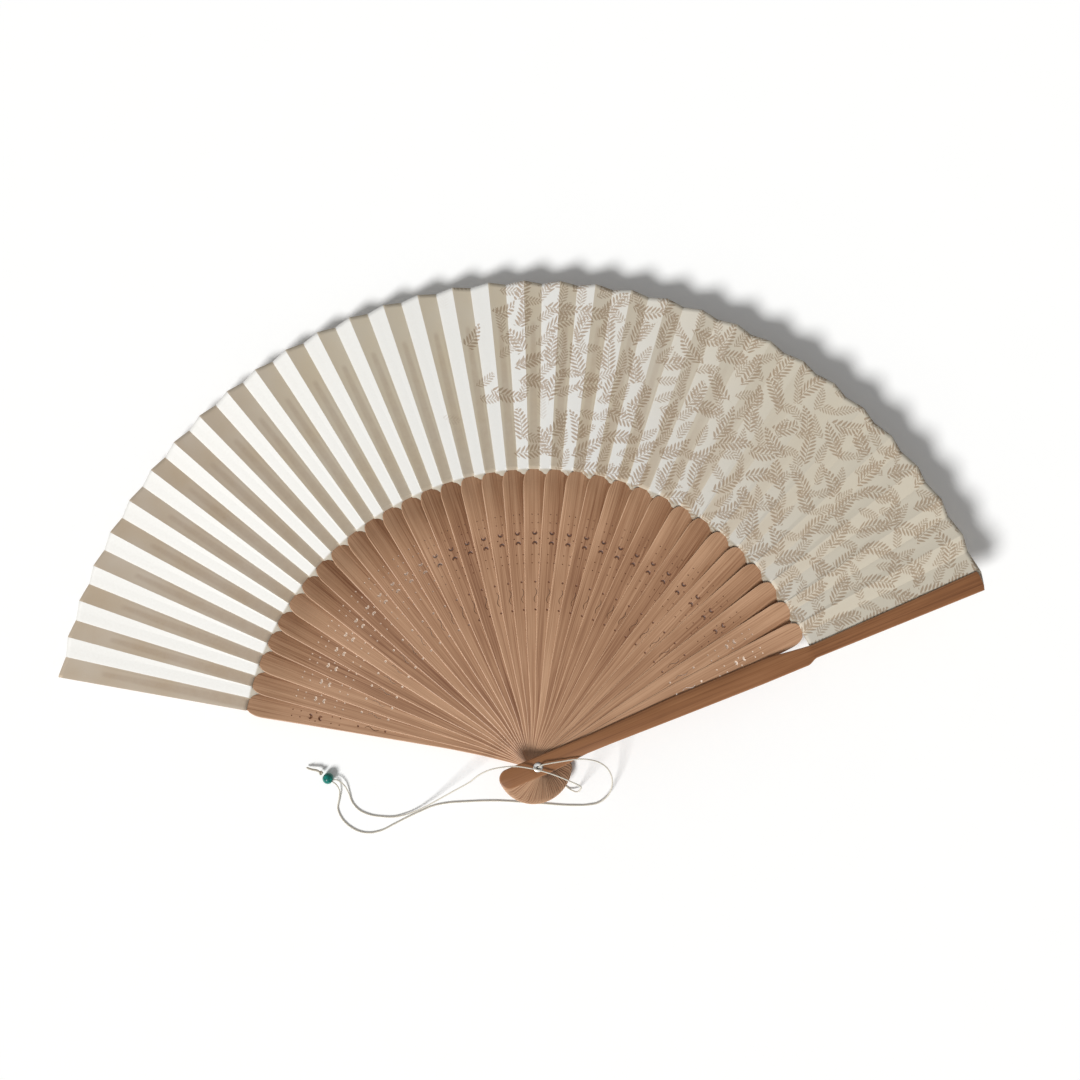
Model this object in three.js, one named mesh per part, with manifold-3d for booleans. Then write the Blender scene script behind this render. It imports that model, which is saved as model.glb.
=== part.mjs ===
// A folding hand fan, lying open on its lower guard. Two guards and 33 pierced ribs are stacked on one hollow
// eyelet, a pleated paper leaf joins their slips, and a wrist cord with a bead runs through the eyelet.
// Millimetres, +Z up. Each stick is drawn along +X from the pivot with its counter-clockwise side at +Y,
// and is then turned to its place round the pivot.
import * as THREE from "three";
import { mergeVertices } from "three/addons/utils/BufferGeometryUtils.js";
import Module from "manifold-3d";

// Sticks: where they stand when the fan is open, in degrees from +X
const RIB_COUNT = 33;
const LEFT_GUARD_AZIMUTH = 168.4;
const FIRST_RIB_AZIMUTH = 168.26;
const RIGHT_GUARD_AZIMUTH = 22.4;
const PLEAT_END_SPREAD = 0.0395; // how much wider the pleats open at both ends than in the middle
const PLEAT_SKEW = 0.0225; // how much wider they open on the right than on the left

// Sticks: lengths from the pivot, widths and thicknesses
const TWIST_START = 96; // the blades are flat up to here, and turn to the pleats' slope at the shoulder
const LEFT_TAIL_LENGTH = 15.1; // of the lowest stick; the tails grow towards the top of the stack
const RIGHT_TAIL_LENGTH = 16.3;
const BLADE_LENGTH = 119;
const SLIP_LENGTH = 60;
const GUARD_LENGTH = 194.2;
const RIB_TAIL_WIDTH = 5.0;
const RIB_HALF_WIDTHS = [
  [5, 2.5],
  [22, 2.3],
  [45, 3.5],
  [62, 4.2],
  [113, 4.5],
]; // places along a rib and its half width there, from the head to the shoulder
const FIRST_RIB_HALF_WIDTHS = [
  [5, 2.5],
  [22, 1.8],
  [36, 1.8],
  [113, 4.4],
]; // the first rib is pared down along its outer edge
const LAP_START = 36;
const RIB_LAP = 0.6; // how much wider a blade is at its shoulder on the right, under its neighbour
const SHOULDER_LENGTH = 6;
const SHOULDER_DEPTH = 2.6; // how far a rib's rounded shoulder draws in on each side
const SLIP_TIP_WIDTH = 1.3;
const RIB_THICKNESS = 0.4;
const RIB_CLEARANCE = 0.1;
const SLIP_THICKNESS = 0.2;
const GUARD_TAIL_WIDTH = 8.0;
const GUARD_OUTER_EDGE = [
  [5, 3.9],
  [20, 2.5],
  [30, 2.5],
  [60, 3.3],
  [TWIST_START, 4.1],
  [116, 4.2],
  [117, 3.9],
  [119, 2.9],
  [120, 2.65],
  [GUARD_LENGTH, 3.6],
]; // places along the right guard and how far its outer edge stands from its middle line
const GUARD_LEAF_EDGE = [
  [5, 4.0],
  [25, 4.0],
  [60, 5.1],
  [102, 5.0],
  [120, 2.9],
  [GUARD_LENGTH, 4.7],
];
const HIDDEN_EDGE = 0.15; // how far the left guard's blade stays inside the first rib's outline
const HIDDEN_SLIP = 0.4; // and how much narrower its slip is than the right guard's on the outside
const GUARD_THICKNESS = 2.4;
const GUARD_HEAD_THICKNESS = 1.1;
const GUARD_HEAD_LENGTH = 9;
const GUARD_TAPER_END = 30;

// Leaf
const LEAF_RADIUS = 195;
const LEAF_INNER_RADIUS = 119.2;
const PANEL_ANGLE = 2.18; // of each panel that is glued to a slip
const FIRST_PANEL_LEFT = 1.35; // how far the first of them passes the middle of its slip
const END_PANEL_ANGLE = 0.4; // how far an end panel passes the middle of its guard
const PAPER_THICKNESS = 0.12;
const PAPER_CLEARANCE = 0.06;
const END_PLEAT_SLOPE = 0.25; // rise across a glued panel at both guards
const MIDDLE_PLEAT_SLOPE = 0.44; // and in the middle of the leaf
const RIM_SLANT = 0.4; // how far a glued panel's rim runs out at its high corner and in at its low one

// Eyelet
const BORE_RADIUS = 0.85;
const SHANK_RADIUS = 1.3;
const PIVOT_CLEARANCE = 0.1;
const FLANGE_RADIUS = 2.0;
const FLANGE_THICKNESS = 0.35;
const LIP_RADIUS = 1.6;
const LIP_THICKNESS = 0.3;
const WASHER_RADIUS = 1.9;
const WASHER_THICKNESS = 0.35;
const SEAT_CLEARANCE = 0.05;

// Openwork on each blade, by its distance from the pivot
const UPPER_CRESCENT_AT = 93.7;
const LOWER_CRESCENT_AT = 89.2;
const CRESCENT_RADIUS = 1.05;
const CRESCENT_BITE_RADIUS = 0.75;
const CRESCENT_BITE_OFFSET = 0.65;
const UPPER_DOT_AT = 73.8;
const LOWER_DOT_AT = 62.6;
const DOT_RADIUS = 0.36;
const WAVE_START = 65.3;
const WAVE_END = 71.1;
const WAVE_SWING = 0.6;
const WAVE_WIDTH = 0.42;

// Wrist cord
const CORD_DIAMETER = 0.6;
const CORD_GAP = 0.3;
const BEAD_RADIUS = 2.3;
const BEAD_BORE_RADIUS = 0.9;
const KNOT_RADIUS = 1.0;

const ROUND_SIDES = 16;
const HOLE_SIDES = 8;
const CORD_SIDES = 8;

const RIB_PITCH = RIB_THICKNESS + RIB_CLEARANCE;
const PANEL_HALF = PANEL_ANGLE / 2;
const TWIST_END = BLADE_LENGTH - SHOULDER_LENGTH;
const radians = THREE.MathUtils.degToRad;
const { lerp, clamp } = THREE.MathUtils;

// Every stick has its edges cut at these places, so that the twisted faces of two neighbours match.
const TWIST_STEPS = 8;
const TWIST_PLACES = Array.from({ length: TWIST_STEPS + 1 }, (_, i) => {
  return lerp(TWIST_START, TWIST_END, i / TWIST_STEPS);
});

// Height of the underside of stick k: ribs are 0 to RIB_COUNT - 1, and the right guard is RIB_COUNT.
const level = (k) => GUARD_THICKNESS + RIB_CLEARANCE + k * RIB_PITCH;

// Where stick k stands when the fan is open: evenly spread, with a little more room at both ends.
function azimuth(k) {
  const t = (2 * k) / RIB_COUNT - 1;
  const share = t + PLEAT_END_SPREAD * (t ** 3 - t) + PLEAT_SKEW * (t ** 2 - 1);
  const middle = (FIRST_RIB_AZIMUTH + RIGHT_GUARD_AZIMUTH) / 2;
  return middle - (share * (FIRST_RIB_AZIMUTH - RIGHT_GUARD_AZIMUTH)) / 2;
}

// Rise across the panel on stick k: the pleats are deepest in the middle of the leaf.
function pleatSlope(k) {
  return lerp(END_PLEAT_SLOPE, MIDDLE_PLEAT_SLOPE, Math.sin((Math.PI * k) / RIB_COUNT));
}

const tailLength = (k) => lerp(LEFT_TAIL_LENGTH, RIGHT_TAIL_LENGTH, k / RIB_COUNT);

// How far a stick has turned to its panel's slope at a distance u from the pivot, from 0 to 1.
function twistShare(u) {
  return clamp((u - TWIST_START) / (TWIST_END - TWIST_START), 0, 1);
}

// The value at u from a table of [place, value] pairs, straight between them and level beyond its ends.
function read(table, u) {
  const next = table.findIndex(([place]) => place > u);
  if (next === 0) return table[0][1];
  if (next < 0) return table[table.length - 1][1];
  const [near, before] = table[next - 1];
  const [far, after] = table[next];
  return lerp(before, after, (u - near) / (far - near));
}

const placesOf = (table) => table.map(([place]) => place);

// All the places in the lists from a start on, in order and each one once.
function placesFrom(start, ...lists) {
  const places = new Set([start, ...lists.flat()]);
  return [...places].filter((u) => u >= start).sort((a, b) => a - b);
}

// A body from a list of points and the triangles between them.
function geometryOf(points, triangles) {
  const geometry = new THREE.BufferGeometry();
  geometry.setAttribute("position", new THREE.Float32BufferAttribute(points.flat(), 3));
  geometry.setIndex(triangles.flat());
  geometry.computeVertexNormals();
  return geometry;
}

// A thin stick with holes in its head part. The head is a chain of points from the stick's right edge round
// the tail to its left edge, and the rest is a row of stations [u, right edge, left edge], the first of which
// holds the chain's two ends. The heights of both faces are functions of the place.
function stickGeometry(chain, holes, stations, lower, upper) {
  const flat = [...chain, ...holes.flat()];
  const faces = THREE.ShapeUtils.triangulateShape(chain, holes);
  const rows = stations.map(([u, right, left], i) => {
    if (i === 0) return [0, chain.length - 1];
    flat.push(new THREE.Vector2(u, right), new THREE.Vector2(u, left));
    return [flat.length - 2, flat.length - 1];
  });
  for (let i = 1; i < rows.length; i++) {
    const [rightNear, leftNear] = rows[i - 1];
    const [rightFar, leftFar] = rows[i];
    faces.push([rightNear, rightFar, leftNear], [rightFar, leftFar, leftNear]);
  }
  const turned = faces.map(([a, b, c]) => {
    const area = flat[b].clone().sub(flat[a]).cross(flat[c].clone().sub(flat[a]));
    return area > 0 ? [a, b, c] : [a, c, b];
  });
  const count = flat.length;
  const lowerPoints = flat.map((p) => [p.x, p.y, lower(p.x, p.y)]);
  const upperPoints = flat.map((p) => [p.x, p.y, upper(p.x, p.y)]);
  const triangles = turned.map(([a, b, c]) => [a, c, b]);
  triangles.push(...turned.map((face) => face.map((i) => i + count)));

  // A wall stands on each edge that only one face has.
  const used = new Set(turned.flatMap(([a, b, c]) => [`${a},${b}`, `${b},${c}`, `${c},${a}`]));
  for (const edge of used) {
    const [a, b] = edge.split(",").map(Number);
    if (used.has(`${b},${a}`)) continue;
    triangles.push([a, b, b + count], [a, b + count, a + count]);
  }
  return geometryOf([...lowerPoints, ...upperPoints], triangles);
}

// Points of an arc about a centre on the stick's middle line.
function arc(centre, radius, start, end, steps) {
  return Array.from({ length: steps + 1 }, (_, i) => {
    const angle = radians(lerp(start, end, i / steps));
    return new THREE.Vector2(centre + radius * Math.cos(angle), radius * Math.sin(angle));
  });
}

function pivotHole() {
  const apothem = SHANK_RADIUS + PIVOT_CLEARANCE;
  const radius = apothem / Math.cos(Math.PI / HOLE_SIDES);
  return arc(0, radius, 0, -360, HOLE_SIDES).slice(1);
}

function dot(at) {
  return arc(at, DOT_RADIUS, 0, -360, 6).slice(1);
}

// A crescent, which is a circle with a bite out of it. Its horns point outward for side 1 and towards the pivot
// for side -1.
function crescent(at, side) {
  const [radius, bite, offset] = [CRESCENT_RADIUS, CRESCENT_BITE_RADIUS, CRESCENT_BITE_OFFSET];
  const horn = (radius ** 2 - bite ** 2 + offset ** 2) / (2 * offset);
  const open = THREE.MathUtils.radToDeg(Math.acos(horn / radius));
  const shut = THREE.MathUtils.radToDeg(Math.acos((horn - offset) / bite));
  const outer = arc(0, radius, open, 360 - open, 7);
  const inner = arc(offset, bite, 360 - shut, shut, 4).slice(1, -1);
  return [...outer, ...inner].map((p) => new THREE.Vector2(at + side * p.x, p.y));
}

// A slit that swings once to each side of the middle line.
function waveSlit() {
  const steps = 6;
  const edge = (side) =>
    Array.from({ length: steps + 1 }, (_, i) => {
      const t = i / steps;
      const swing = WAVE_SWING * Math.sin(2 * Math.PI * t);
      return new THREE.Vector2(lerp(WAVE_START, WAVE_END, t), swing + (side * WAVE_WIDTH) / 2);
    });
  return [...edge(1), ...edge(-1).reverse()];
}

function ribGeometry(k) {
  const pleat = pleatSlope(k);
  const tail = RIB_TAIL_WIDTH / 2;
  const halfWidths = k === 0 ? FIRST_RIB_HALF_WIDTHS : RIB_HALF_WIDTHS;
  const ribEdges = (u) => {
    const half = read(halfWidths, u);
    const lap = RIB_LAP * clamp((u - LAP_START) / (TWIST_END - LAP_START), 0, 1);
    return [-half - lap, half];
  };
  const [shoulderRight, shoulderLeft] = ribEdges(TWIST_END);
  const corner = (turn) => {
    const u = TWIST_END + SHOULDER_LENGTH * Math.sin(radians(turn));
    const drawn = 1 - Math.cos(radians(turn));
    return [u, shoulderRight + (SHOULDER_DEPTH + RIB_LAP) * drawn, shoulderLeft - SHOULDER_DEPTH * drawn];
  };
  const blade = TWIST_PLACES.slice(0, -1).map((u) => [u, ...ribEdges(u)]);
  const slipTip = [BLADE_LENGTH + SLIP_LENGTH, -SLIP_TIP_WIDTH / 2, SLIP_TIP_WIDTH / 2];
  const stations = [...blade, corner(0), corner(30), corner(60), corner(90), slipTip];
  const neck = [...placesOf(halfWidths).slice(0, -1), TWIST_START];
  const chain = [
    ...neck.map((u) => new THREE.Vector2(u, ribEdges(u)[0])).reverse(),
    ...arc(tail - tailLength(k), tail, -90, -270, 7),
    ...neck.map((u) => new THREE.Vector2(u, ribEdges(u)[1])),
  ];
  const holes = [
    pivotHole(),
    crescent(UPPER_CRESCENT_AT, 1),
    crescent(LOWER_CRESCENT_AT, -1),
    dot(UPPER_DOT_AT),
    dot(LOWER_DOT_AT),
    waveSlit(),
  ];
  const thickness = (u) => {
    const pared = clamp((u - TWIST_END) / SHOULDER_LENGTH, 0, 1);
    return lerp(RIB_THICKNESS, SLIP_THICKNESS, pared);
  };
  const lower = (u, s) => pleat * twistShare(u) * s;
  const upper = (u, s) => lower(u, s) + thickness(u);
  return stickGeometry(chain, holes, stations, lower, upper);
}

// A guard from the places along it and its edges there. Side 1 has its leaf edge on the left, and side -1 on
// the right.
function guardGeometry(side, tailReach, places, outerEdge, leafEdge, lower, upper) {
  const tail = GUARD_TAIL_WIDTH / 2;
  const edges = (u) => (side > 0 ? [-outerEdge(u), leafEdge(u)] : [-leafEdge(u), outerEdge(u)]);
  const [right, left] = edges(GUARD_HEAD_LENGTH);
  const chain = [
    new THREE.Vector2(GUARD_HEAD_LENGTH, right),
    ...arc(tail - tailReach, tail, -90, -270, 10),
    new THREE.Vector2(GUARD_HEAD_LENGTH, left),
  ];
  const stations = places.map((u) => [u, ...edges(u)]);
  return stickGeometry(chain, [pivotHole()], stations, lower, upper);
}

// How much a guard's outer face stands back at its head, where it is thinned.
function headRelief(u) {
  const share = clamp((GUARD_TAPER_END - u) / (GUARD_TAPER_END - GUARD_HEAD_LENGTH), 0, 1);
  return share * (GUARD_THICKNESS - GUARD_HEAD_THICKNESS);
}

const LEFT_SEAT = level(0) - 2 * PAPER_THICKNESS - 4 * PAPER_CLEARANCE;
const RIGHT_SEAT = level(RIB_COUNT) + SLIP_THICKNESS + PAPER_THICKNESS + 2 * PAPER_CLEARANCE;

// The left guard is hidden under the first rib: its outer edge keeps inside the rib's, and draws in at its
// shoulder to the width of its slip.
function leftGuardGeometry() {
  const blade = (u) => read(FIRST_RIB_HALF_WIDTHS, u) - HIDDEN_EDGE;
  const outerEdge = (u) => {
    if (u <= TWIST_END) return blade(u);
    const slip = read(GUARD_OUTER_EDGE, Math.max(u, BLADE_LENGTH)) - HIDDEN_SLIP;
    return lerp(blade(TWIST_END), slip, clamp((u - TWIST_END) / SHOULDER_LENGTH, 0, 1));
  };
  const leafEdge = (u) => read(GUARD_LEAF_EDGE, u);
  const lower = (u) => headRelief(u);
  const upper = (u, s) => lerp(GUARD_THICKNESS, LEFT_SEAT + END_PLEAT_SLOPE * s, twistShare(u));
  const edgePlaces = [...placesOf(FIRST_RIB_HALF_WIDTHS), ...placesOf(GUARD_LEAF_EDGE)];
  const places = placesFrom(GUARD_HEAD_LENGTH, TWIST_PLACES, edgePlaces, [GUARD_TAPER_END, BLADE_LENGTH]);
  return guardGeometry(-1, LEFT_TAIL_LENGTH, places, outerEdge, leafEdge, lower, upper);
}

function rightGuardGeometry() {
  const outerEdge = (u) => read(GUARD_OUTER_EDGE, u);
  const leafEdge = (u) => read(GUARD_LEAF_EDGE, u);
  const lower = (u, s) => lerp(level(RIB_COUNT), RIGHT_SEAT + END_PLEAT_SLOPE * s, twistShare(u));
  const upper = (u) => level(RIB_COUNT) + GUARD_THICKNESS - headRelief(u);
  const edgePlaces = [...placesOf(GUARD_OUTER_EDGE), ...placesOf(GUARD_LEAF_EDGE)];
  const places = placesFrom(GUARD_HEAD_LENGTH, TWIST_PLACES, edgePlaces, [GUARD_TAPER_END]);
  return guardGeometry(1, RIGHT_TAIL_LENGTH, places, outerEdge, leafEdge, lower, upper);
}

// The leaf's section at one radius, from the left guard to the right guard: pairs of points, one on the
// printed side and one on the back. A panel lies on each slip with the slip's slope, the next panel climbs
// from its low right edge to the following slip's high left edge, and the first pleat, on the left guard,
// is folded shut.
function leafSection(radius, slant) {
  const section = [];
  const point = (turn, offset, pleat, base, stray) => {
    const angle = radians(turn + offset) + stray / radius;
    const reach = radius + slant * clamp(offset / PANEL_HALF, -1, 1);
    const across = radius * Math.sin(radians(offset));
    return [reach * Math.cos(angle), reach * Math.sin(angle), base + pleat * across];
  };
  const add = (turn, offset, pleat, frontBase, backBase, frontStray = 0, backStray = 0) => {
    section.push({
      front: point(turn, offset, pleat, frontBase, frontStray),
      back: point(turn, offset, pleat, backBase, backStray),
    });
  };
  const panelLevel = (k) => level(k) + SLIP_THICKNESS + PAPER_CLEARANCE;

  // The end panel on the left guard, and the shut pleat between it and the first slip
  const seat = LEFT_SEAT + PAPER_CLEARANCE;
  const fold = seat + PAPER_THICKNESS + PAPER_CLEARANCE;
  const tuck = level(0) - PAPER_CLEARANCE - PAPER_THICKNESS;
  const stray = PAPER_THICKNESS;
  const end = END_PLEAT_SLOPE;
  add(LEFT_GUARD_AZIMUTH, END_PANEL_ANGLE, end, seat + PAPER_THICKNESS, seat);
  add(LEFT_GUARD_AZIMUTH, -PANEL_HALF, end, seat + PAPER_THICKNESS, seat, 0, -stray);
  add(LEFT_GUARD_AZIMUTH, -PANEL_HALF, end, fold, fold + PAPER_THICKNESS, 0, -stray);
  add(FIRST_RIB_AZIMUTH, FIRST_PANEL_LEFT, end, tuck, tuck + PAPER_THICKNESS, stray, 0);
  add(FIRST_RIB_AZIMUTH, FIRST_PANEL_LEFT, end, panelLevel(0) + PAPER_THICKNESS, panelLevel(0), stray, 0);
  add(FIRST_RIB_AZIMUTH, -PANEL_HALF, end, panelLevel(0) + PAPER_THICKNESS, panelLevel(0));

  for (let k = 1; k <= RIB_COUNT; k++) {
    const right = k < RIB_COUNT ? PANEL_HALF : END_PANEL_ANGLE;
    add(azimuth(k), PANEL_HALF, pleatSlope(k), panelLevel(k) + PAPER_THICKNESS, panelLevel(k));
    add(azimuth(k), -right, pleatSlope(k), panelLevel(k) + PAPER_THICKNESS, panelLevel(k));
  }
  return section;
}

function leafGeometry() {
  const inner = leafSection(LEAF_INNER_RADIUS, 0);
  const outer = leafSection(LEAF_RADIUS, RIM_SLANT);
  const count = inner.length;
  const points = [inner, outer].flatMap((section) => [
    ...section.map((p) => p.front),
    ...section.map((p) => p.back),
  ]);
  const [innerFront, innerBack, outerFront, outerBack] = [0, 1, 2, 3].map((n) => n * count);
  const triangles = [];
  const quad = (a, b, c, d) => triangles.push([a, b, c], [a, c, d]);
  for (let i = 0; i + 1 < count; i++) {
    const j = i + 1;
    quad(innerFront + i, outerFront + i, outerFront + j, innerFront + j);
    quad(innerBack + j, outerBack + j, outerBack + i, innerBack + i);
    quad(outerFront + i, outerBack + i, outerBack + j, outerFront + j);
    quad(innerFront + j, innerBack + j, innerBack + i, innerFront + i);
  }
  const last = count - 1;
  quad(innerFront, innerBack, outerBack, outerFront);
  quad(outerFront + last, outerBack + last, innerBack + last, innerFront + last);
  return geometryOf(points, triangles.map(([a, b, c]) => [a, c, b]));
}

// A ring turned about Z from a closed profile of [radius, height] pairs, listed anticlockwise.
function ring(profile) {
  const points = [...profile, profile[0]].map(([r, z]) => new THREE.Vector2(r, z));
  return new THREE.LatheGeometry(points, ROUND_SIDES).rotateX(Math.PI / 2);
}

const HEAD_BOTTOM = GUARD_THICKNESS - GUARD_HEAD_THICKNESS;
const HEAD_TOP = level(RIB_COUNT) + GUARD_HEAD_THICKNESS;
const WASHER_BOTTOM = HEAD_TOP + SEAT_CLEARANCE;
const LIP_BOTTOM = WASHER_BOTTOM + WASHER_THICKNESS + SEAT_CLEARANCE;
const EYELET_TOP = LIP_BOTTOM + LIP_THICKNESS;
const FLANGE_TOP = HEAD_BOTTOM - SEAT_CLEARANCE;
const EYELET_BOTTOM = FLANGE_TOP - FLANGE_THICKNESS;

function eyeletGeometry() {
  const mouth = (BORE_RADIUS + SHANK_RADIUS) / 2;
  return ring([
    [mouth, EYELET_BOTTOM],
    [FLANGE_RADIUS, EYELET_BOTTOM],
    [FLANGE_RADIUS, FLANGE_TOP],
    [SHANK_RADIUS, FLANGE_TOP],
    [SHANK_RADIUS, LIP_BOTTOM],
    [LIP_RADIUS, LIP_BOTTOM],
    [LIP_RADIUS, (LIP_BOTTOM + EYELET_TOP) / 2],
    [(LIP_RADIUS + mouth) / 2, EYELET_TOP],
    [mouth, EYELET_TOP],
    [BORE_RADIUS, LIP_BOTTOM],
    [BORE_RADIUS, FLANGE_TOP],
  ]);
}

function washerGeometry() {
  const hole = SHANK_RADIUS + PIVOT_CLEARANCE;
  const top = WASHER_BOTTOM + WASHER_THICKNESS;
  return ring([
    [hole, WASHER_BOTTOM],
    [WASHER_RADIUS, WASHER_BOTTOM],
    [WASHER_RADIUS, (WASHER_BOTTOM + top) / 2],
    [lerp(hole, WASHER_RADIUS, 0.75), top],
    [hole, top],
  ]);
}

// The cord's routes, in millimetres from the pivot at the height of the table. The upper strand leaves the
// eyelet's top, makes the open loop on the right, passes under the head and runs to the bead. The lower
// strand comes from under the eyelet, wraps the head's right side, crosses its top and runs to the bead.
const CORD_REST = 0.45; // height of the cord's middle where it lies on the table
const CORD_TOP = 21.5; // and where it lies over the head
const OVER_ROUTE = [
  [1.2, 0.9, CORD_TOP],
  [5.1, 1.8, CORD_TOP],
  [10.1, 2.6, CORD_TOP],
  [15, 3.3, 21.6],
  [19.3, 3.2, 21.3],
  [23, 2.3, 19.6],
  [26.8, 0.1, 16.4],
  [29.3, -2.9, 12.6],
  [30.7, -6.6, 8.6],
  [30.8, -10.3, 5.2],
  [29.2, -14.3, 2.2],
  [25.7, -17.1, 0.8],
  [21, -18, CORD_REST],
  [15.1, -18.1, CORD_REST],
  [1.8, -17.2, CORD_REST],
  [-18.7, -16, CORD_REST],
  [-28.5, -16.3, CORD_REST],
  [-35.4, -16.7, CORD_REST],
  [-41.5, -17.8, CORD_REST],
  [-47.4, -20.2, CORD_REST],
  [-52.8, -22.7, CORD_REST],
  [-58.1, -25.4, CORD_REST],
  [-63, -27.8, CORD_REST],
  [-67.5, -28.7, CORD_REST],
  [-71.5, -28.2, CORD_REST],
  [-75.3, -26.3, CORD_REST],
  [-79.1, -22.5, CORD_REST],
  [-80.6, -18.8, CORD_REST],
  [-80, -14.5, 0.7],
  [-79.9, -11.2, 1.3],
  [-81.3, -8.6, 2.2],
];
const UNDER_ROUTE = [
  [1.2, -0.8, CORD_REST],
  [5.8, -4.6, CORD_REST],
  [10.6, -8.6, CORD_REST],
  [14, -11.4, 0.6],
  [16.1, -12.2, 2.2],
  [17.2, -11.4, 6.5],
  [17.5, -10, 11.5],
  [17.4, -8.4, 17],
  [16.2, -7.1, 20.9],
  [12.8, -5.5, CORD_TOP],
  [6.6, -2.9, CORD_TOP],
  [1.2, -1.2, CORD_TOP],
  [-2.6, -0.3, CORD_TOP],
  [-9, 0.6, CORD_TOP],
  [-13.9, 0.3, CORD_TOP],
  [-18.8, -0.7, 21],
  [-23, -2.9, 18.2],
  [-27.1, -6.5, 14.2],
  [-33.4, -10.5, 10.2],
  [-38.7, -13.9, 6.6],
  [-44.1, -17.3, 3.4],
  [-49.5, -20, 1.5],
  [-53.8, -21.5, 1],
  [-58.1, -22.3, 0.6],
  [-63, -22.1, CORD_REST],
  [-67.8, -21.3, CORD_REST],
  [-71.9, -19.4, CORD_REST],
  [-74.8, -16.1, CORD_REST],
  [-76.2, -12.3, 0.8],
  [-77.9, -9.2, 1.6],
  [-79.6, -7.6, 2.1],
  [-81.2, -6.8, 2.3],
];
const BEAD_CENTRE = [-84.4, -6.2, BEAD_RADIUS + SEAT_CLEARANCE];
const BEAD_HEADING = 142; // degrees from +X, from the strands towards the knot
const OVER_STEPS = 42;
const UNDER_STEPS = 36;

function tubeGeometry(route, steps, diameter = CORD_DIAMETER) {
  const section = new THREE.Shape(arc(0, diameter / 2, 0, 360, CORD_SIDES).slice(1));
  const extrudePath = new THREE.CatmullRomCurve3(route.map((p) => new THREE.Vector3(...p)));
  return new THREE.ExtrudeGeometry(section, { extrudePath, steps });
}

function boreCordGeometry() {
  const bottom = CORD_REST + CORD_DIAMETER / 2 + CORD_GAP;
  const top = CORD_TOP - CORD_DIAMETER / 2 - CORD_GAP;
  const length = top - bottom;
  const stretch = new THREE.CylinderGeometry(CORD_DIAMETER / 2, CORD_DIAMETER / 2, length, CORD_SIDES);
  return stretch.rotateX(Math.PI / 2).translate(0, 0, (bottom + top) / 2);
}

// A ball with a bore along Z, flattened where the bore leaves it.
function beadGeometry() {
  const mouth = Math.asin(BEAD_BORE_RADIUS / BEAD_RADIUS);
  const profile = Array.from({ length: 9 }, (_, i) => {
    const angle = lerp(mouth - Math.PI / 2, Math.PI / 2 - mouth, i / 8);
    return [BEAD_RADIUS * Math.cos(angle), BEAD_RADIUS * Math.sin(angle)];
  });
  return ring(profile);
}

const wasm = await Module();
wasm.setup();

function solidOf(geometry) {
  const bare = geometry.clone();
  bare.deleteAttribute("normal");
  bare.deleteAttribute("uv");
  const merged = mergeVertices(bare, 1e-3);
  const vertProperties = new Float32Array(merged.attributes.position.array);
  const triVerts = new Uint32Array(merged.index.array);
  return new wasm.Manifold(new wasm.Mesh({ numProp: 3, vertProperties, triVerts }));
}

function joined(geometries) {
  const solid = geometries.map(solidOf).reduce((a, b) => a.add(b));
  const { vertProperties, triVerts } = solid.getMesh();
  const geometry = new THREE.BufferGeometry();
  geometry.setAttribute("position", new THREE.BufferAttribute(vertProperties, 3));
  geometry.setIndex(new THREE.BufferAttribute(triVerts, 1));
  geometry.computeVertexNormals();
  return geometry;
}

// The end knot, drawn along +Z away from the bead: a tight ball with two short tails.
function knotGeometry() {
  const ball = new THREE.SphereGeometry(KNOT_RADIUS, 10, 7).scale(1, 1, 1.2);
  const tail = (side, length) => {
    const route = [
      [0, 0, 0],
      [side * 0.5, 0.1, length * 0.45],
      [side * 0.9, -0.1, length],
    ];
    return tubeGeometry(route, 4, CORD_DIAMETER * 0.9);
  };
  return joined([ball, tail(1, 5.2), tail(-1, 4.4)]);
}

const finish = (color, roughness, metalness = 0) => {
  return new THREE.MeshStandardMaterial({ color, roughness, metalness });
};
const bamboo = finish(0xa57d62, 0.55);
const darkBamboo = finish(0x875837, 0.45);
const paper = finish(0xf2efe6, 0.85);
const metal = finish(0xc9c9cc, 0.25, 1);
const cordFibre = finish(0xcfc7b6, 0.8);
const beadGlaze = finish(0x2f9aa0, 0.2);

function piece(name, geometry, material, turn = 0, lift = 0) {
  const mesh = new THREE.Mesh(geometry, material);
  mesh.name = name;
  mesh.rotation.z = radians(turn);
  mesh.position.z = lift;
  return mesh;
}

const fan = new THREE.Group();
fan.add(piece("left_guard", leftGuardGeometry(), darkBamboo, LEFT_GUARD_AZIMUTH));
for (let k = 0; k < RIB_COUNT; k++) {
  const name = `rib_${String(k + 1).padStart(2, "0")}`;
  fan.add(piece(name, ribGeometry(k), bamboo, azimuth(k), level(k)));
}
fan.add(piece("right_guard", rightGuardGeometry(), darkBamboo, RIGHT_GUARD_AZIMUTH));
fan.add(piece("leaf", leafGeometry(), paper));
fan.add(piece("pivot_eyelet", eyeletGeometry(), metal));
fan.add(piece("pivot_washer", washerGeometry(), metal));

// Pieces on the cord's end lie along the bead's axis, which is level.
const beadAxis = new THREE.Group();
beadAxis.position.set(...BEAD_CENTRE);
beadAxis.rotation.set(0, Math.PI / 2, radians(BEAD_HEADING), "ZYX");
beadAxis.add(piece("bead", beadGeometry(), beadGlaze));
const knotLift = BEAD_RADIUS + KNOT_RADIUS + CORD_GAP;
beadAxis.add(piece("cord_knot", knotGeometry(), cordFibre, 0, knotLift));

const wristCord = new THREE.Group();
wristCord.add(piece("cord_strand_over", tubeGeometry(OVER_ROUTE, OVER_STEPS), cordFibre));
wristCord.add(piece("cord_in_bore", boreCordGeometry(), cordFibre));
wristCord.add(piece("cord_strand_under", tubeGeometry(UNDER_ROUTE, UNDER_STEPS), cordFibre));
wristCord.add(beadAxis);

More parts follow.
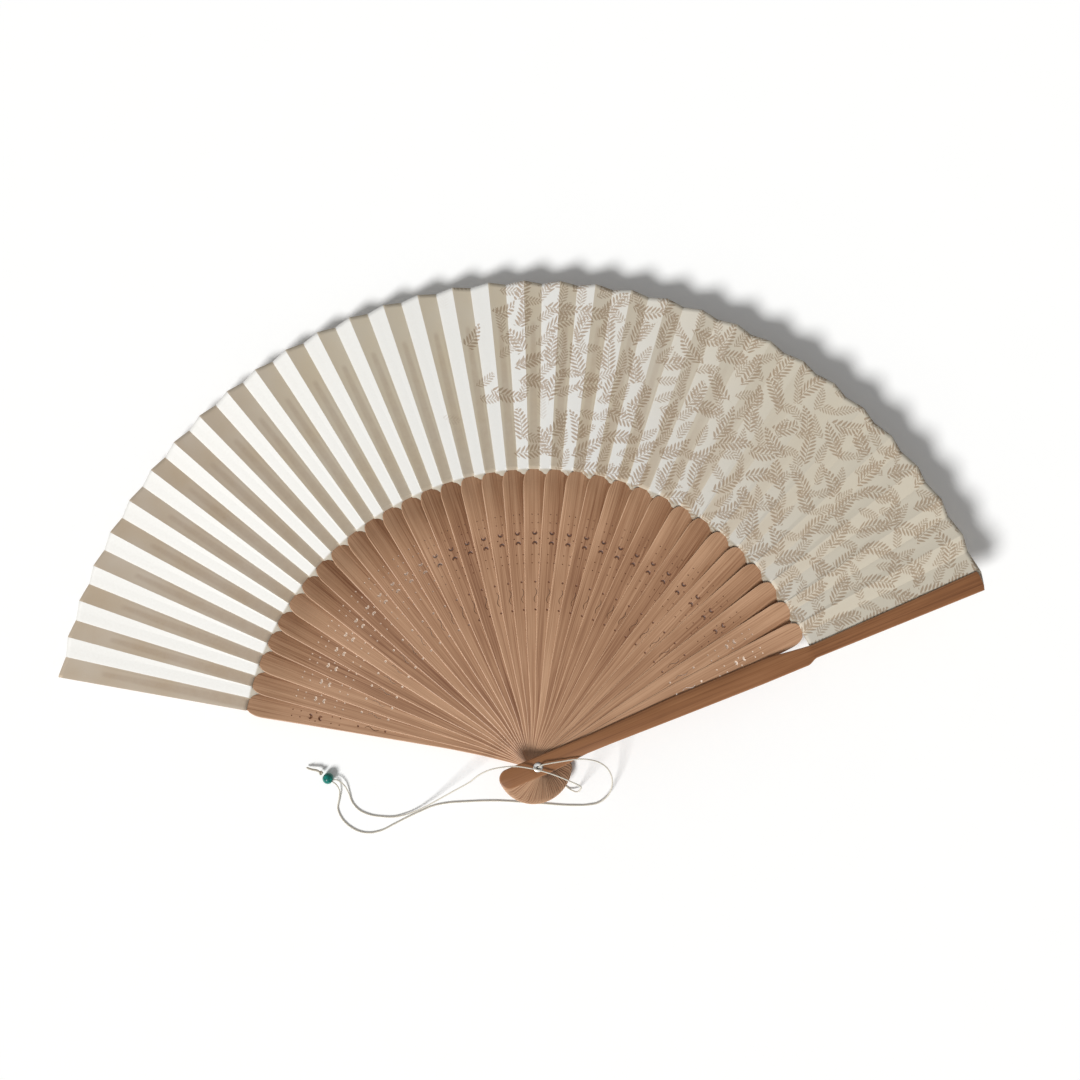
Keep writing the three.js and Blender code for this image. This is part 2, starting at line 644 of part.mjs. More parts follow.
// The origin is under the middle of the open fan, at the height of the table.
const box = new THREE.Box3().setFromObject(fan, true);
const middle = box.getCenter(new THREE.Vector3());
const part = new THREE.Group();
for (const half of [fan, wristCord]) {
  half.position.set(-middle.x, -middle.y, -box.min.z);
  part.add(half);
}

export default part;
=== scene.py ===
# A folding hand fan of pierced bamboo with a pleated paper leaf and a wrist cord, open on a pale table.
# Shapes are worked out in millimetres about the pivot and put into the meshes in metres.
import math

import bpy
import numpy as np
from mathutils.geometry import delaunay_2d_cdt
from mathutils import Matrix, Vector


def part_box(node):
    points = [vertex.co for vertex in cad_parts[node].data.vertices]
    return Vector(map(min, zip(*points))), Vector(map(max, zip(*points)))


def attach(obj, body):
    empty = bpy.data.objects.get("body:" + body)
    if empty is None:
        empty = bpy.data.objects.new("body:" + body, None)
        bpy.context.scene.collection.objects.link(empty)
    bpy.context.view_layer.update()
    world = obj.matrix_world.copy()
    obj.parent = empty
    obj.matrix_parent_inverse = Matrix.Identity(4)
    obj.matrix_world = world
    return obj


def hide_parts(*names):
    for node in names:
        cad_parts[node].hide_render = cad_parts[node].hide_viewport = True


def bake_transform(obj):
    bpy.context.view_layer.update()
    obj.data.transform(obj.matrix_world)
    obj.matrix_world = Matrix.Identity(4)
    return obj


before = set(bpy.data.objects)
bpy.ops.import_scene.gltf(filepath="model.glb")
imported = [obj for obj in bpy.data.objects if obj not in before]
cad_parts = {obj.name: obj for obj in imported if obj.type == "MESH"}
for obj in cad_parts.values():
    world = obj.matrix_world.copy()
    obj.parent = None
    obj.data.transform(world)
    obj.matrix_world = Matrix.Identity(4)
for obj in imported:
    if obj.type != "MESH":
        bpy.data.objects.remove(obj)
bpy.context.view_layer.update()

MM = 0.001
RANDOM = np.random.default_rng(11)

# Where the sticks stand, in degrees from +X, and how they are stacked
RIB_COUNT = 33
LEFT_GUARD_AZIMUTH = 168.4
FIRST_RIB_AZIMUTH = 168.26
RIGHT_GUARD_AZIMUTH = 22.4
FOLD_TRAVEL = LEFT_GUARD_AZIMUTH - RIGHT_GUARD_AZIMUTH
PLEAT_END_SPREAD = 0.0395
PLEAT_SKEW = 0.0225
GUARD_THICKNESS = 2.4
GUARD_HEAD_THICKNESS = 1.1
RIB_THICKNESS = 0.4
RIB_CLEARANCE = 0.1
RIB_PITCH = RIB_THICKNESS + RIB_CLEARANCE
SLIP_THICKNESS = 0.2
PAPER_CLEARANCE = 0.06
PAPER_THICKNESS = 0.08

# Plan of a stick, by its distance from the pivot
LEFT_TAIL_LENGTH = 15.1
RIGHT_TAIL_LENGTH = 16.3
BLADE_LENGTH = 119.0
SLIP_LENGTH = 60.0
SHOULDER_LENGTH = 6.0
SHOULDER_DEPTH = 2.6
TWIST_START = 96.0
TWIST_END = BLADE_LENGTH - SHOULDER_LENGTH
END_PLEAT_SLOPE = 0.25
MIDDLE_PLEAT_SLOPE = 0.44
RIB_TAIL_HALF = 2.5
RIB_PLACES = [5, 22, 45, 62, 113]
RIB_HALVES = [2.5, 2.3, 3.5, 4.2, 4.5]
FIRST_RIB_PLACES = [5, 22, 36, 113]
FIRST_RIB_HALVES = [2.5, 1.8, 1.8, 4.4]
LAP_START = 36.0
RIB_LAP = 0.6
WIDE_LAP = 1.7
WIDE_FROM = 11
WIDE_TO = 18
WIDE_START = 1.9
WIDE_CURL = 1.4
SLIP_TIP_HALF = 0.65
GUARD_LENGTH = 194.2
GUARD_TAIL_HALF = 4.0
OUTER_PLACES = [5, 20, 30, 60, TWIST_START, 116, 117, 119, 120, GUARD_LENGTH]
OUTER_EDGE = [3.9, 2.5, 2.5, 3.3, 4.1, 4.2, 3.9, 2.9, 2.65, 3.6]
LEAF_EDGE_PLACES = [5, 25, 60, 102, 120, GUARD_LENGTH]
LEAF_EDGE = [4.0, 4.0, 5.1, 5.0, 2.9, 4.7]
HIDDEN_EDGE = 0.15
HIDDEN_SLIP = 0.4
GUARD_HEAD_LENGTH = 9.0
GUARD_TAPER_END = 30.0
GUARD_STEP_END = 121.0
GUARD_TIP = 0.6
GUARD_ROWS = (0.3, 0.5, 0.7)
GUARD_ROWS_START = -11.0
GUARD_ROWS_INSET = 2.5
HOLE_MARGIN = 1.0
PIVOT_HOLE_RADIUS = 1.4
BODY_START = -8.0
THIN_EDGE = 0.3

# Leaf
LEAF_INNER_RADIUS = 119.2
LEAF_RADIUS = 195.0
PANEL_HALF = 1.09
FIRST_PANEL_LEFT = 1.35
RIM_SLANT = 0.4
END_PANEL_ANGLE = 0.4


def pivot_place():
    """The pivot's place on the table, in millimetres: the middle of the eyelet."""
    low, high = (np.array(corner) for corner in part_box("pivot_eyelet"))
    middle = (low + high) / 2 / MM
    return np.array([middle[0], middle[1], 0.0])


PIVOT = pivot_place()


def level(k):
    """Height of the underside of stick k: ribs from 0, the right guard last."""
    return GUARD_THICKNESS + RIB_CLEARANCE + k * RIB_PITCH


def azimuth(k):
    """Where stick k stands in the open fan, with a little more room at both ends."""
    t = 2 * k / RIB_COUNT - 1
    share = t + PLEAT_END_SPREAD * (t**3 - t) + PLEAT_SKEW * (t**2 - 1)
    half = (FIRST_RIB_AZIMUTH - RIGHT_GUARD_AZIMUTH) / 2
    return (FIRST_RIB_AZIMUTH + RIGHT_GUARD_AZIMUTH) / 2 - share * half


def pleat_slope(k):
    """Rise across the panel on stick k: half a sine wave, least at both guards."""
    return mix(END_PLEAT_SLOPE, MIDDLE_PLEAT_SLOPE, np.sin(math.pi * k / RIB_COUNT))


def tail_length(k):
    """How far stick k reaches behind the pivot, further up the stack."""
    return mix(LEFT_TAIL_LENGTH, RIGHT_TAIL_LENGTH, k / RIB_COUNT)


def twist_share(u):
    """0 on the flat of a stick and 1 from its shoulder on."""
    return ramp(u, TWIST_START, TWIST_END)


def shoulder_share(u):
    """0 on the blade and 1 from the slip's root on."""
    return ramp(u, TWIST_END, BLADE_LENGTH)


def ramp(x, start, end):
    """0 at start, 1 at end and straight between; start may be the larger."""
    return np.clip((x - start) / (end - start), 0, 1)


def mix(a, b, t):
    """The value a share t of the way from a to b."""
    return a + (b - a) * t


def turned(points, degrees, lift=0.0):
    """Points along +X from the pivot, turned to their azimuth and lifted."""
    angle = math.radians(degrees)
    x, y, z = points.T
    turned_x = x * math.cos(angle) - y * math.sin(angle) + PIVOT[0]
    turned_y = x * math.sin(angle) + y * math.cos(angle) + PIVOT[1]
    return np.column_stack([turned_x, turned_y, z + lift])


# Meshes
SOFT_CORNER = 60.0
RING_CORNER = 50.0
GUARD_CORNER = 40.0
RIB_CORNER = 18.0
PLEAT_CORNER = 8.0


def linked(name, data):
    """A new object of the scene with that data."""
    made = bpy.data.objects.new(name, data)
    bpy.context.scene.collection.objects.link(made)
    return made


def mesh_piece(name, points, faces, finish, slot, body, nodes, grain=None, values=(), sharp=SOFT_CORNER):
    """An object at the origin from points in millimetres, which rides on a body, or on none yet, and
    replaces nodes. grain is one UV pair a point, values are named floats, and corners over sharp degrees
    stay sharp."""
    mesh = bpy.data.meshes.new(name)
    mesh.from_pydata((np.asarray(points) * MM).tolist(), [], [list(map(int, f)) for f in faces])
    mesh.validate()
    if grain is not None:
        corner = np.zeros(len(mesh.loops), np.int32)
        mesh.loops.foreach_get("vertex_index", corner)
        layer = mesh.uv_layers.new(name="grain")
        layer.data.foreach_set("uv", np.asarray(grain, np.float32)[corner].ravel())
    for label, each in values:
        attribute = mesh.attributes.new(label, "FLOAT", "POINT")
        attribute.data.foreach_set("value", np.broadcast_to(each, len(mesh.vertices)).astype(np.float32))
    mesh.shade_smooth()
    mesh.set_sharp_from_angle(angle=math.radians(sharp))
    mesh.materials.append(finish)
    piece = linked(name, mesh)
    if body:
        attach(piece, body)
    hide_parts(*nodes)
    return piece


def grid_faces(rows, columns, wrap_rows=False, wrap_columns=False):
    """Quads of a grid of points listed row by row, facing along row x column."""
    r = np.arange(rows if wrap_rows else rows - 1)[:, None]
    c = np.arange(columns if wrap_columns else columns - 1)[None, :]
    next_r, next_c = (r + 1) % rows, (c + 1) % columns
    corners = [r * columns + c, next_r * columns + c, next_r * columns + next_c, r * columns + next_c]
    return np.stack([np.broadcast_to(a, (r.size, c.size)) for a in corners], axis=-1).reshape(-1, 4)


def facing(loop, sign):
    """The plan loop, anticlockwise for sign 1 and clockwise for sign -1."""
    x, y = loop.T
    area = np.sum(x * np.roll(y, -1) - np.roll(x, -1) * y)
    return loop if area * sign > 0 else loop[::-1]


def drawn_in(loop, amount):
    """The loop moved into the material, along its normals."""
    along = np.roll(loop, -1, axis=0) - np.roll(loop, 1, axis=0)
    normal = np.stack([along[:, 1], -along[:, 0]], axis=1)
    normal /= np.maximum(np.linalg.norm(normal, axis=1, keepdims=True), 1e-9)
    return loop - normal * np.reshape(amount, (-1, 1))


def inside(points, loops):
    """Whether each point lies in the outline and in no hole, by edges to its right."""
    odd = np.zeros(len(points), bool)
    for loop in loops:
        a, b = loop, np.roll(loop, -1, axis=0)
        x, y = points[:, :1], points[:, 1:]
        spans = (a[:, 1] > y) != (b[:, 1] > y)
        rise = np.where(b[:, 1] == a[:, 1], 1e-12, b[:, 1] - a[:, 1])
        meets = a[:, 0] + (y - a[:, 1]) * (b[:, 0] - a[:, 0]) / rise
        odd ^= (np.sum(spans & (x < meets), axis=1) % 2).astype(bool)
    return odd


def plate(outline, holes, free, lower, upper, upper_edge, lower_edge):
    """A pierced plate: its plan loops carried up an edge of (inset, drop) pairs, both faces filled
    between the loops and the free points. Each hole comes with its share of the inset. Returns points,
    faces and a value: 0 on the faces, 1 on the outer edge, -1 on holes' edges."""
    loops = [facing(outline, 1)] + [facing(hole, -1) for hole, _ in holes]
    sizes = [len(loop) for loop in loops]
    starts = np.cumsum([0] + sizes[:-1])
    count = sum(sizes)

    def ring(inset, drop, face, sign):
        plan = np.concatenate([drawn_in(loop, inset * s) for loop, s in zip(loops, scale)])
        return np.column_stack([plan, face(*plan.T) - sign * drop])

    thickness = upper(*loops[0].T) - lower(*loops[0].T)
    scale = [np.clip(thickness / RIB_THICKNESS, THIN_EDGE, 1.0)]
    scale += [np.full(len(hole), bevel) for hole, bevel in holes]
    rings = [ring(i, d, lower, -1) for i, d in reversed(lower_edge)]
    rings += [ring(i, d, upper, 1) for i, d in upper_edge]

    following = np.concatenate([s + np.roll(np.arange(n), -1) for s, n in zip(starts, sizes)])
    here = np.arange(count)
    band = np.column_stack([here, following, following + count, here + count])
    walls = [band + i * count for i in range(len(rings) - 1)]

    cap = np.concatenate([rings[-1][:, :2], free])
    edges = np.column_stack([here, following]).tolist()
    _, _, triangles, origin, _, _ = delaunay_2d_cdt(cap.tolist(), edges, [], 0, 1e-7)
    back = np.array([o[0] for o in origin])
    triangles = back[np.array(triangles)]
    a, b, c = (cap[triangles[:, i]] for i in range(3))
    first, second = b - a, c - a
    area = first[:, 0] * second[:, 1] - first[:, 1] * second[:, 0]
    triangles = np.where((area < 0)[:, None], triangles[:, ::-1], triangles)
    cap_loops = np.split(rings[-1][:, :2], starts[1:])
    triangles = triangles[inside((a + b + c) / 3, cap_loops) & (np.abs(area) > 1e-9)]

    last = (len(rings) - 1) * count
    total = len(rings) * count
    low_free = np.column_stack([free, lower(*free.T)])
    high_free = np.column_stack([free, upper(*free.T)])
    top = np.where(triangles < count, triangles + last, triangles - count + total + len(free))
    bottom = np.where(triangles < count, triangles, triangles - count + total)[:, ::-1]
    points = np.concatenate([*rings, low_free, high_free])
    edge_value = np.zeros(len(points))
    edge_value[count:last] = np.tile(np.where(here < sizes[0], 1, -1), len(rings) - 2)
    return points, [*np.concatenate(walls), *top, *bottom], edge_value


# Openwork, by place along a rib and across it
OUTER_STEPS = 17
INNER_STEPS = 11
SLIM_CRESCENT = (0.74, 0.8, 0.2)
FAT_CRESCENT = (0.8, 0.76, 0.3)
CRESCENT_PLACES = ((93.7, 1), (89.2, -1))
SMALL_DOT = 0.1
SMALL_DOT_PLACES = [(u, s) for u in (101.0, 97.6) for s in (-1.43, 1.03)]
SMALL_DOT_PLACES += [(91.3, s) for s in (-1.9, 1.5)]
SMALL_DOT_PLACES += [(u, s) for u in (84.8, 81.4) for s in (-1.55, 1.15)]
LARGE_DOT = 0.14
LARGE_DOT_BEVEL = 1.1
LARGE_DOT_PLACES = (73.8, 62.6)
WAVE_START = 65.3
WAVE_END = 71.1
WAVE_SWING = 0.55
WAVE_WIDTH = 0.12
WAVE_STEPS = 22
WAVE_BEVEL = 0.15
PIVOT_HOLE_BEVEL = 0.3


def circle(u, s, radius, sides):
    """A round loop about (u, s)."""
    angle = np.arange(sides) * 2 * math.pi / sides
    return np.column_stack([u + radius * np.cos(angle), s + radius * np.sin(angle)])


def crescent(at, side, radius, bite, offset):
    """A circle with a bite out of it, whose horns point outward for side 1."""
    horn = (radius**2 - bite**2 + offset**2) / (2 * offset)
    outward = np.linspace(1, -1, OUTER_STEPS) * (math.pi - math.acos(horn / radius))
    back = np.linspace(-1, 1, INNER_STEPS)[1:-1] * (math.pi - math.acos((horn - offset) / bite))
    outer = np.column_stack([-radius * np.cos(outward), radius * np.sin(outward)])
    inner = np.column_stack([offset - bite * np.cos(back), bite * np.sin(back)])
    return np.concatenate([outer, inner]) * [side, 1] + [at, 0]


def wave_slit():
    """A slit of constant width about one whole sine wave, with rounded ends."""
    t = np.linspace(0, 1, WAVE_STEPS)
    u = mix(WAVE_START, WAVE_END, t)
    s = WAVE_SWING * np.sin(2 * math.pi * t)
    half = WAVE_WIDTH / 2 * np.sqrt(np.clip(np.minimum(t, 1 - t) * 12, 0.05, 1))
    return np.concatenate([np.column_stack([u, s + half]), np.column_stack([u, s - half])[::-1]])


def openwork(moon, moon_bevel, dot_bevel):
    """The holes of a rib, each a loop and its share of the bevel: the pivot's hole, dots round two
    crescents back to back, and a wave between two larger dots."""
    outer_dot, inner_dot = ((circle(u, 0, LARGE_DOT, 10), LARGE_DOT_BEVEL) for u in LARGE_DOT_PLACES)
    return [
        (circle(0, 0, PIVOT_HOLE_RADIUS, 20), PIVOT_HOLE_BEVEL),
        *[(circle(u, s, SMALL_DOT, 8), dot_bevel) for u, s in SMALL_DOT_PLACES],
        *[(crescent(u, side, *moon), moon_bevel) for u, side in CRESCENT_PLACES],
        outer_dot,
        (wave_slit(), WAVE_BEVEL),
        inner_dot,
    ]


def rib_half(u, first=False):
    """Half the width of a rib's blade, straight between places. The first is pared."""
    if first:
        return np.interp(u, FIRST_RIB_PLACES, FIRST_RIB_HALVES)
    return np.interp(u, RIB_PLACES, RIB_HALVES)


def rib_lap(u):
    """How much wider a blade is on its right, under the next rib."""
    return RIB_LAP * ramp(u, LAP_START, TWIST_END)


def wide_share(k):
    """How much of the wide lap rib k has: none on the left or on the last."""
    return ramp(k, WIDE_FROM, WIDE_TO) * (k < RIB_COUNT - 1)


def wide_lap(points, k):
    """How far each point of rib k moves to the right, to fill the gap to the next shoulder, and how far
    it curls up there: both grow along the blade, between the slip's width and the right edge. The last
    rib only curls."""
    u, s, _ = points.T
    round_off = shoulder_share(u)
    drawn = 1 - np.sqrt(1 - round_off**2)
    edge = rib_half(u) - SHOULDER_DEPTH * drawn + rib_lap(u) * (1 - drawn)
    widest = WIDE_LAP * rib_lap(u) / RIB_LAP * (1 - round_off**10)
    last = k == RIB_COUNT - 1
    width = np.maximum(edge + widest * last - WIDE_START, 0.01)
    moved = widest * np.clip((-s - WIDE_START) / width, 0, 1)
    return -moved * wide_share(k), moved * WIDE_CURL * (1.0 if last else wide_share(k))


def round_tail(length, half, steps):
    """The plan of a stick's round tail, from its left side to its right."""
    turn = np.radians(np.linspace(90, 270, steps))
    return np.column_stack([half - length + half * np.cos(turn), half * np.sin(turn)])


def rib_outline(first):
    """A rib's plan: tail, waist, widening blade, round shoulders, tapering slip."""
    tail = round_tail(LEFT_TAIL_LENGTH, RIB_TAIL_HALF, 17)
    flat = np.linspace(BODY_START, TWIST_START, 30)
    u = np.concatenate([flat, np.linspace(TWIST_START, TWIST_END, 14)[1:-1]])
    turn = np.radians(np.linspace(0, 90, 12))
    shoulder_u = TWIST_END + SHOULDER_LENGTH * np.sin(turn)
    drawn = 1 - np.cos(turn)
    shoulder_half = rib_half(TWIST_END, first) - SHOULDER_DEPTH * drawn
    along = np.linspace(0, 1, 9)[1:]
    slip_u = BLADE_LENGTH + SLIP_LENGTH * along
    slip_half = mix(rib_half(TWIST_END, first) - SHOULDER_DEPTH, SLIP_TIP_HALF, along)
    edge_u = np.concatenate([u, shoulder_u, slip_u])
    edge_half = np.concatenate([rib_half(u, first), shoulder_half, slip_half])
    edge_lap = np.concatenate([rib_lap(u), RIB_LAP * (1 - drawn), np.zeros(len(along))])
    right = np.column_stack([edge_u, -edge_half - edge_lap])
    left = np.column_stack([edge_u, edge_half])[::-1]
    return np.concatenate([tail, right, left])


def rib_lower(u, s):
    """A rib's underside before it is turned to its pleat's slope: flat."""
    return np.zeros_like(u)


def rib_upper(u, s):
    """A rib's upper face, pared to the slip's thickness along the shoulder."""
    return mix(RIB_THICKNESS, SLIP_THICKNESS, shoulder_share(u))


def guard_edges(u, side):
    """How far a guard's left and right edges lie from its middle line. The upper guard, side 1, has its
    leaf edge on the left and steps in at its shoulder. The lower one keeps inside the first rib's
    outline."""
    leaf_edge = np.interp(u, LEAF_EDGE_PLACES, LEAF_EDGE)
    if side > 0:
        return leaf_edge, np.interp(u, OUTER_PLACES, OUTER_EDGE)
    slip = np.interp(np.maximum(u, BLADE_LENGTH), OUTER_PLACES, OUTER_EDGE) - HIDDEN_SLIP
    return mix(rib_half(u, True) - HIDDEN_EDGE, slip, shoulder_share(u)), leaf_edge


def guard_outline(side):
    """A guard's plan: a round tail, two long edges and a rounded tip."""
    tail = round_tail(RIGHT_TAIL_LENGTH if side > 0 else LEFT_TAIL_LENGTH, GUARD_TAIL_HALF, 25)
    blade = np.linspace(BODY_START, TWIST_END, 44)[:-1]
    step = np.linspace(TWIST_END, GUARD_STEP_END, 24)
    slip = np.linspace(GUARD_STEP_END, GUARD_LENGTH - GUARD_TIP, 20)[1:]
    u = np.concatenate([blade, step, slip])
    left, right = guard_edges(u, side)
    corner = np.linspace(0, 1, 5)[1:-1]
    tip_u = GUARD_LENGTH - GUARD_TIP * (1 - np.sqrt(1 - (2 * corner - 1) ** 8))
    tip = np.column_stack([tip_u, mix(-right[-1], left[-1], corner)])
    return np.concatenate([tail, np.column_stack([u, -right]), tip, np.column_stack([u, left])[::-1]])


def guard_middle(side):
    """Plan points in rows along a guard, for its crowned face to bend at."""
    u = np.linspace(GUARD_ROWS_START, GUARD_LENGTH - GUARD_ROWS_INSET, 60)
    left, right = guard_edges(u, side)
    points = np.concatenate([np.column_stack([u, mix(-right, left, t)]) for t in GUARD_ROWS])
    return points[np.hypot(*points.T) > PIVOT_HOLE_RADIUS + HOLE_MARGIN]


def head_relief(u):
    """How much a guard's outer face stands back towards its thin head."""
    return ramp(u, GUARD_TAPER_END, GUARD_HEAD_LENGTH) * (GUARD_THICKNESS - GUARD_HEAD_THICKNESS)


LEFT_SEAT = level(0) - 0.48
RIGHT_SEAT = level(RIB_COUNT) + 0.44
CROWN = 0.16
LEAF_FALL = 1.0
SLIP_FALL = 0.3


def left_lower(u, s):
    """The lower guard's outer face, on the table, with its head thinned."""
    return head_relief(u)


def left_upper(u, s):
    """The lower guard's inner face: flat, then sunk under the end of the leaf."""
    return mix(GUARD_THICKNESS, LEFT_SEAT + END_PLEAT_SLOPE * s, twist_share(u))


def right_lower(u, s):
    """The upper guard's inner face, on the last rib and the end of the leaf."""
    return mix(level(RIB_COUNT), RIGHT_SEAT + END_PLEAT_SLOPE * s, twist_share(u))


def right_upper(u, s):
    """The upper guard's outer face: a low crown, pared towards its leaf edge."""
    leaf_edge, outer_edge = guard_edges(u, 1)
    middle = (leaf_edge - outer_edge) / 2
    across = (s - middle) / ((leaf_edge + outer_edge) / 2)
    thickness = GUARD_THICKNESS - head_relief(u)
    fall = mix(LEAF_FALL, SLIP_FALL, twist_share(u)) * thickness / GUARD_THICKNESS
    return level(RIB_COUNT) + thickness - CROWN * across**2 - fall * np.clip(across, 0, 1) ** 2


# Shader maths


class Value:
    """A value in a material. Arithmetic on it adds the Math nodes that work it out."""

    def __init__(self, finish, socket):
        self.finish = finish
        self.socket = socket

    def math(self, operation, *others):
        inputs = dict(enumerate((self, *others)))
        return self.finish.node("ShaderNodeMath", {"operation": operation}, inputs)

    def within(self, low, high):
        """0 below low and 1 above high, with a smooth step between; low may be the larger."""
        settings = {"interpolation_type": "SMOOTHSTEP"}
        return self.finish.node("ShaderNodeMapRange", settings, {0: self, 1: low, 2: high})


def operator(operation, swapped=False):
    """A method that joins two values by a Math node, the other first if swapped."""

    def method(self, other):
        pair = (other, self) if swapped else (self, other)
        return self.finish.node("ShaderNodeMath", {"operation": operation}, dict(enumerate(pair)))

    return method


Value.__add__ = Value.__radd__ = operator("ADD")
Value.__mul__ = Value.__rmul__ = operator("MULTIPLY")
Value.__sub__, Value.__rsub__ = operator("SUBTRACT"), operator("SUBTRACT", swapped=True)
Value.__truediv__ = operator("DIVIDE")
Value.__pow__ = operator("POWER")
Value.__abs__ = lambda self: self.math("ABSOLUTE")


class Finish:
    """A material with one Principled shader."""

    def __init__(self, name):
        self.material = bpy.data.materials.new(name)
        self.material.use_nodes = True
        self.tree = self.material.node_tree
        self.shader = self.tree.nodes["Principled BSDF"]

    def node(self, kind, settings=None, inputs=None, output=0):
        """A node of that kind, its settings set first, then its sockets, by name or number."""
        made = self.tree.nodes.new(kind)
        for key, setting in (settings or {}).items():
            if key == "stops":
                for stop in range(len(setting) - 2):
                    made.color_ramp.elements.new(0.5)
                for element, (place, colour) in zip(made.color_ramp.elements, setting):
                    element.position = place
                    element.color = colour
            else:
                setattr(made, key, setting)
        for key, each in (inputs or {}).items():
            self.put(made.inputs[key], each)
        return Value(self, made.outputs[output])

    def put(self, socket, each):
        if isinstance(each, Value):
            self.tree.links.new(each.socket, socket)
        else:
            socket.default_value = each

    def surface(self, **sockets):
        """Sets the shader's sockets, named with _ for a space."""
        for key, each in sockets.items():
            self.put(self.shader.inputs[key.replace("_", " ")], each)
        return self.material

    def uv(self, name="grain"):
        return self.node("ShaderNodeUVMap", {"uv_map": name})

    def attribute(self, name):
        return self.node("ShaderNodeAttribute", {"attribute_name": name}, {}, "Fac")

    def vector(self, operation, a, b):
        return self.node("ShaderNodeVectorMath", {"operation": operation}, {0: a, 1: b})

    def stretched(self, vector, *scale):
        return self.vector("MULTIPLY", vector, scale)

    def axes(self, vector):
        made = self.node("ShaderNodeSeparateXYZ", {}, {0: vector})
        outputs = made.socket.node.outputs
        return Value(self, outputs[0]), Value(self, outputs[1])

    def noise(self, vector, scale=1.0, detail=3.0, roughness=0.5):
        inputs = {"Vector": vector, "Scale": scale, "Detail": detail, "Roughness": roughness}
        return self.node("ShaderNodeTexNoise", {}, inputs)

    def blend(self, share, a, b, how="MIX"):
        settings = {"data_type": "RGBA", "blend_type": how}
        return self.node("ShaderNodeMix", settings, {0: share, 6: a, 7: b}, 2)

    def bump(self, height, strength, distance):
        inputs = {"Height": height, "Strength": strength, "Distance": distance}
        return self.node("ShaderNodeBump", {}, inputs)


def paint(red, green, blue):
    """A colour from its screen values, 0 to 255, as linear light."""
    screen = np.array([red, green, blue]) / 255
    light = np.where(screen <= 0.04045, screen / 12.92, ((screen + 0.055) / 1.055) ** 2.4)
    return (*light.tolist(), 1.0)


TONE_STOPS = (0.12, 0.5, 0.88)


def bamboo(name, tones, edge, painted_hole_shade_and_light, roughness, contrast):
    """Split bamboo: fibres and bands along the stick, a tone for each stick, a painted highlight on the
    outer edges, and bevels round the openwork with painted shade on some sticks and painted light on
    others."""
    f = Finish(name)
    grain = f.uv()
    fibre = f.noise(f.stretched(grain, 0.02, 1.9, 1), 1.0, 3.0, 0.6)
    fine = f.noise(f.stretched(grain, 0.07, 4.5, 1), 1.0, 2.0)
    band = f.noise(f.stretched(grain, 0.008, 0.55, 1), 1.0, 2.0)
    cloud = f.noise(f.stretched(grain, 0.035, 0.12, 1), 1.0, 2.0)
    tone = f.attribute("tone")
    shade = (fibre - 0.5) * contrast + (fine - 0.5) * 0.5 * contrast
    shade = shade + (band - 0.5) * 0.6 + (cloud - 0.5) * 0.4
    # The mesh's shade value is painted light and shade: ribs darker on the right and lighter at both ends,
    # guards lighter on the blade and darker on the slip.
    shade = shade + 0.5 + (tone - 0.5) * 0.32 + f.attribute("shade")
    wood = f.node("ShaderNodeValToRGB", {"stops": list(zip(TONE_STOPS, tones))}, {0: shade})
    line = fibre.within(0.40, 0.30) * 0.5
    wood = f.blend(line, wood, tones[0])
    rim = f.attribute("rim")
    # Pale edge colour on the outer edges' bevels: a painted highlight.
    wood = f.blend(rim.within(0.1, 0.8) * 0.8, wood, edge)
    # Bevels round the holes: painted shade, dark, on most ribs and painted light, pale, on the left and
    # last ribs.
    painted_hole_colour = f.blend(f.attribute("pale"), *painted_hole_shade_and_light)
    wood = f.blend(rim.within(-0.02, -0.35) * 0.9, wood, painted_hole_colour)
    height = fibre * 0.7 + fine * 0.5
    rough = roughness + (fine - 0.5) * 0.2
    return f.surface(Base_Color=wood, Roughness=rough, Normal=f.bump(height, 0.35, 0.00012))


RIGHT_LEAN = 0.35


def fronds(f, place, cell, length, half_width, pitch, seed):
    """A scatter of fern fronds over a plane in millimetres: each cell of a loose net holds one at its own
    angle, with a thin stem and leaflets that lean forward and shorten to both ends."""
    shift = (seed * 37.1, seed * 11.7, 0)
    shifted = f.vector("ADD", place, shift)
    inputs = {"Vector": shifted, "Scale": 1 / cell, "Randomness": 0.8}
    net = f.node("ShaderNodeTexVoronoi", {"voronoi_dimensions": "2D"}, inputs, "Position")
    chance = Value(f, net.socket.node.outputs["Color"])
    first, second = f.axes(chance)
    away = f.vector("SUBTRACT", shifted, net)
    inputs = {"Vector": away, "Angle": (first - 0.5) * 2.6 - 0.9}
    x, y = f.axes(f.node("ShaderNodeVectorRotate", {"rotation_type": "Z_AXIS"}, inputs))
    bow = x * x * (second - 0.5) * 0.08
    side = abs(y + bow)
    along = x / (length / 2)
    reach = (1 - along * along).math("MAXIMUM", 0.0) ** 0.7 * half_width * (1.15 - 0.35 * along)
    lean = (x - side * 0.75) / pitch + (y + bow).math("GREATER_THAN", 0.0) * 0.5
    part = abs(lean.math("FRACT") - 0.5) * pitch
    full = (side / reach.math("MAXIMUM", 0.05)).math("MINIMUM", 1.0)
    full = (full * math.pi).math("SINE").math("MAXIMUM", 0.0) ** 0.7
    leaflet = (full * pitch * 0.34 - part).within(-0.03, 0.12)
    stem = (0.13 - side).within(-0.03, 0.08) * (1 - abs(along)).within(0.0, 0.04)
    return leaflet.math("MAXIMUM", stem) * in_garden(f, f.vector("SUBTRACT", net, shift), second)


def in_garden(f, where, chance):
    """Which fronds are drawn: most on the leaf's right, in clumps, none on its left."""
    x, y = f.axes(where)
    clump = f.noise(where, 0.022, 1.0)
    rightward = x + y * RIGHT_LEAN
    right = rightward.within(-20.0, 60.0)
    drawn = (right * 0.8 + (clump - 0.5) * 1.5 - chance * 0.55).within(0.0, 0.06)
    return drawn * rightward.within(-16.0, -4.0)


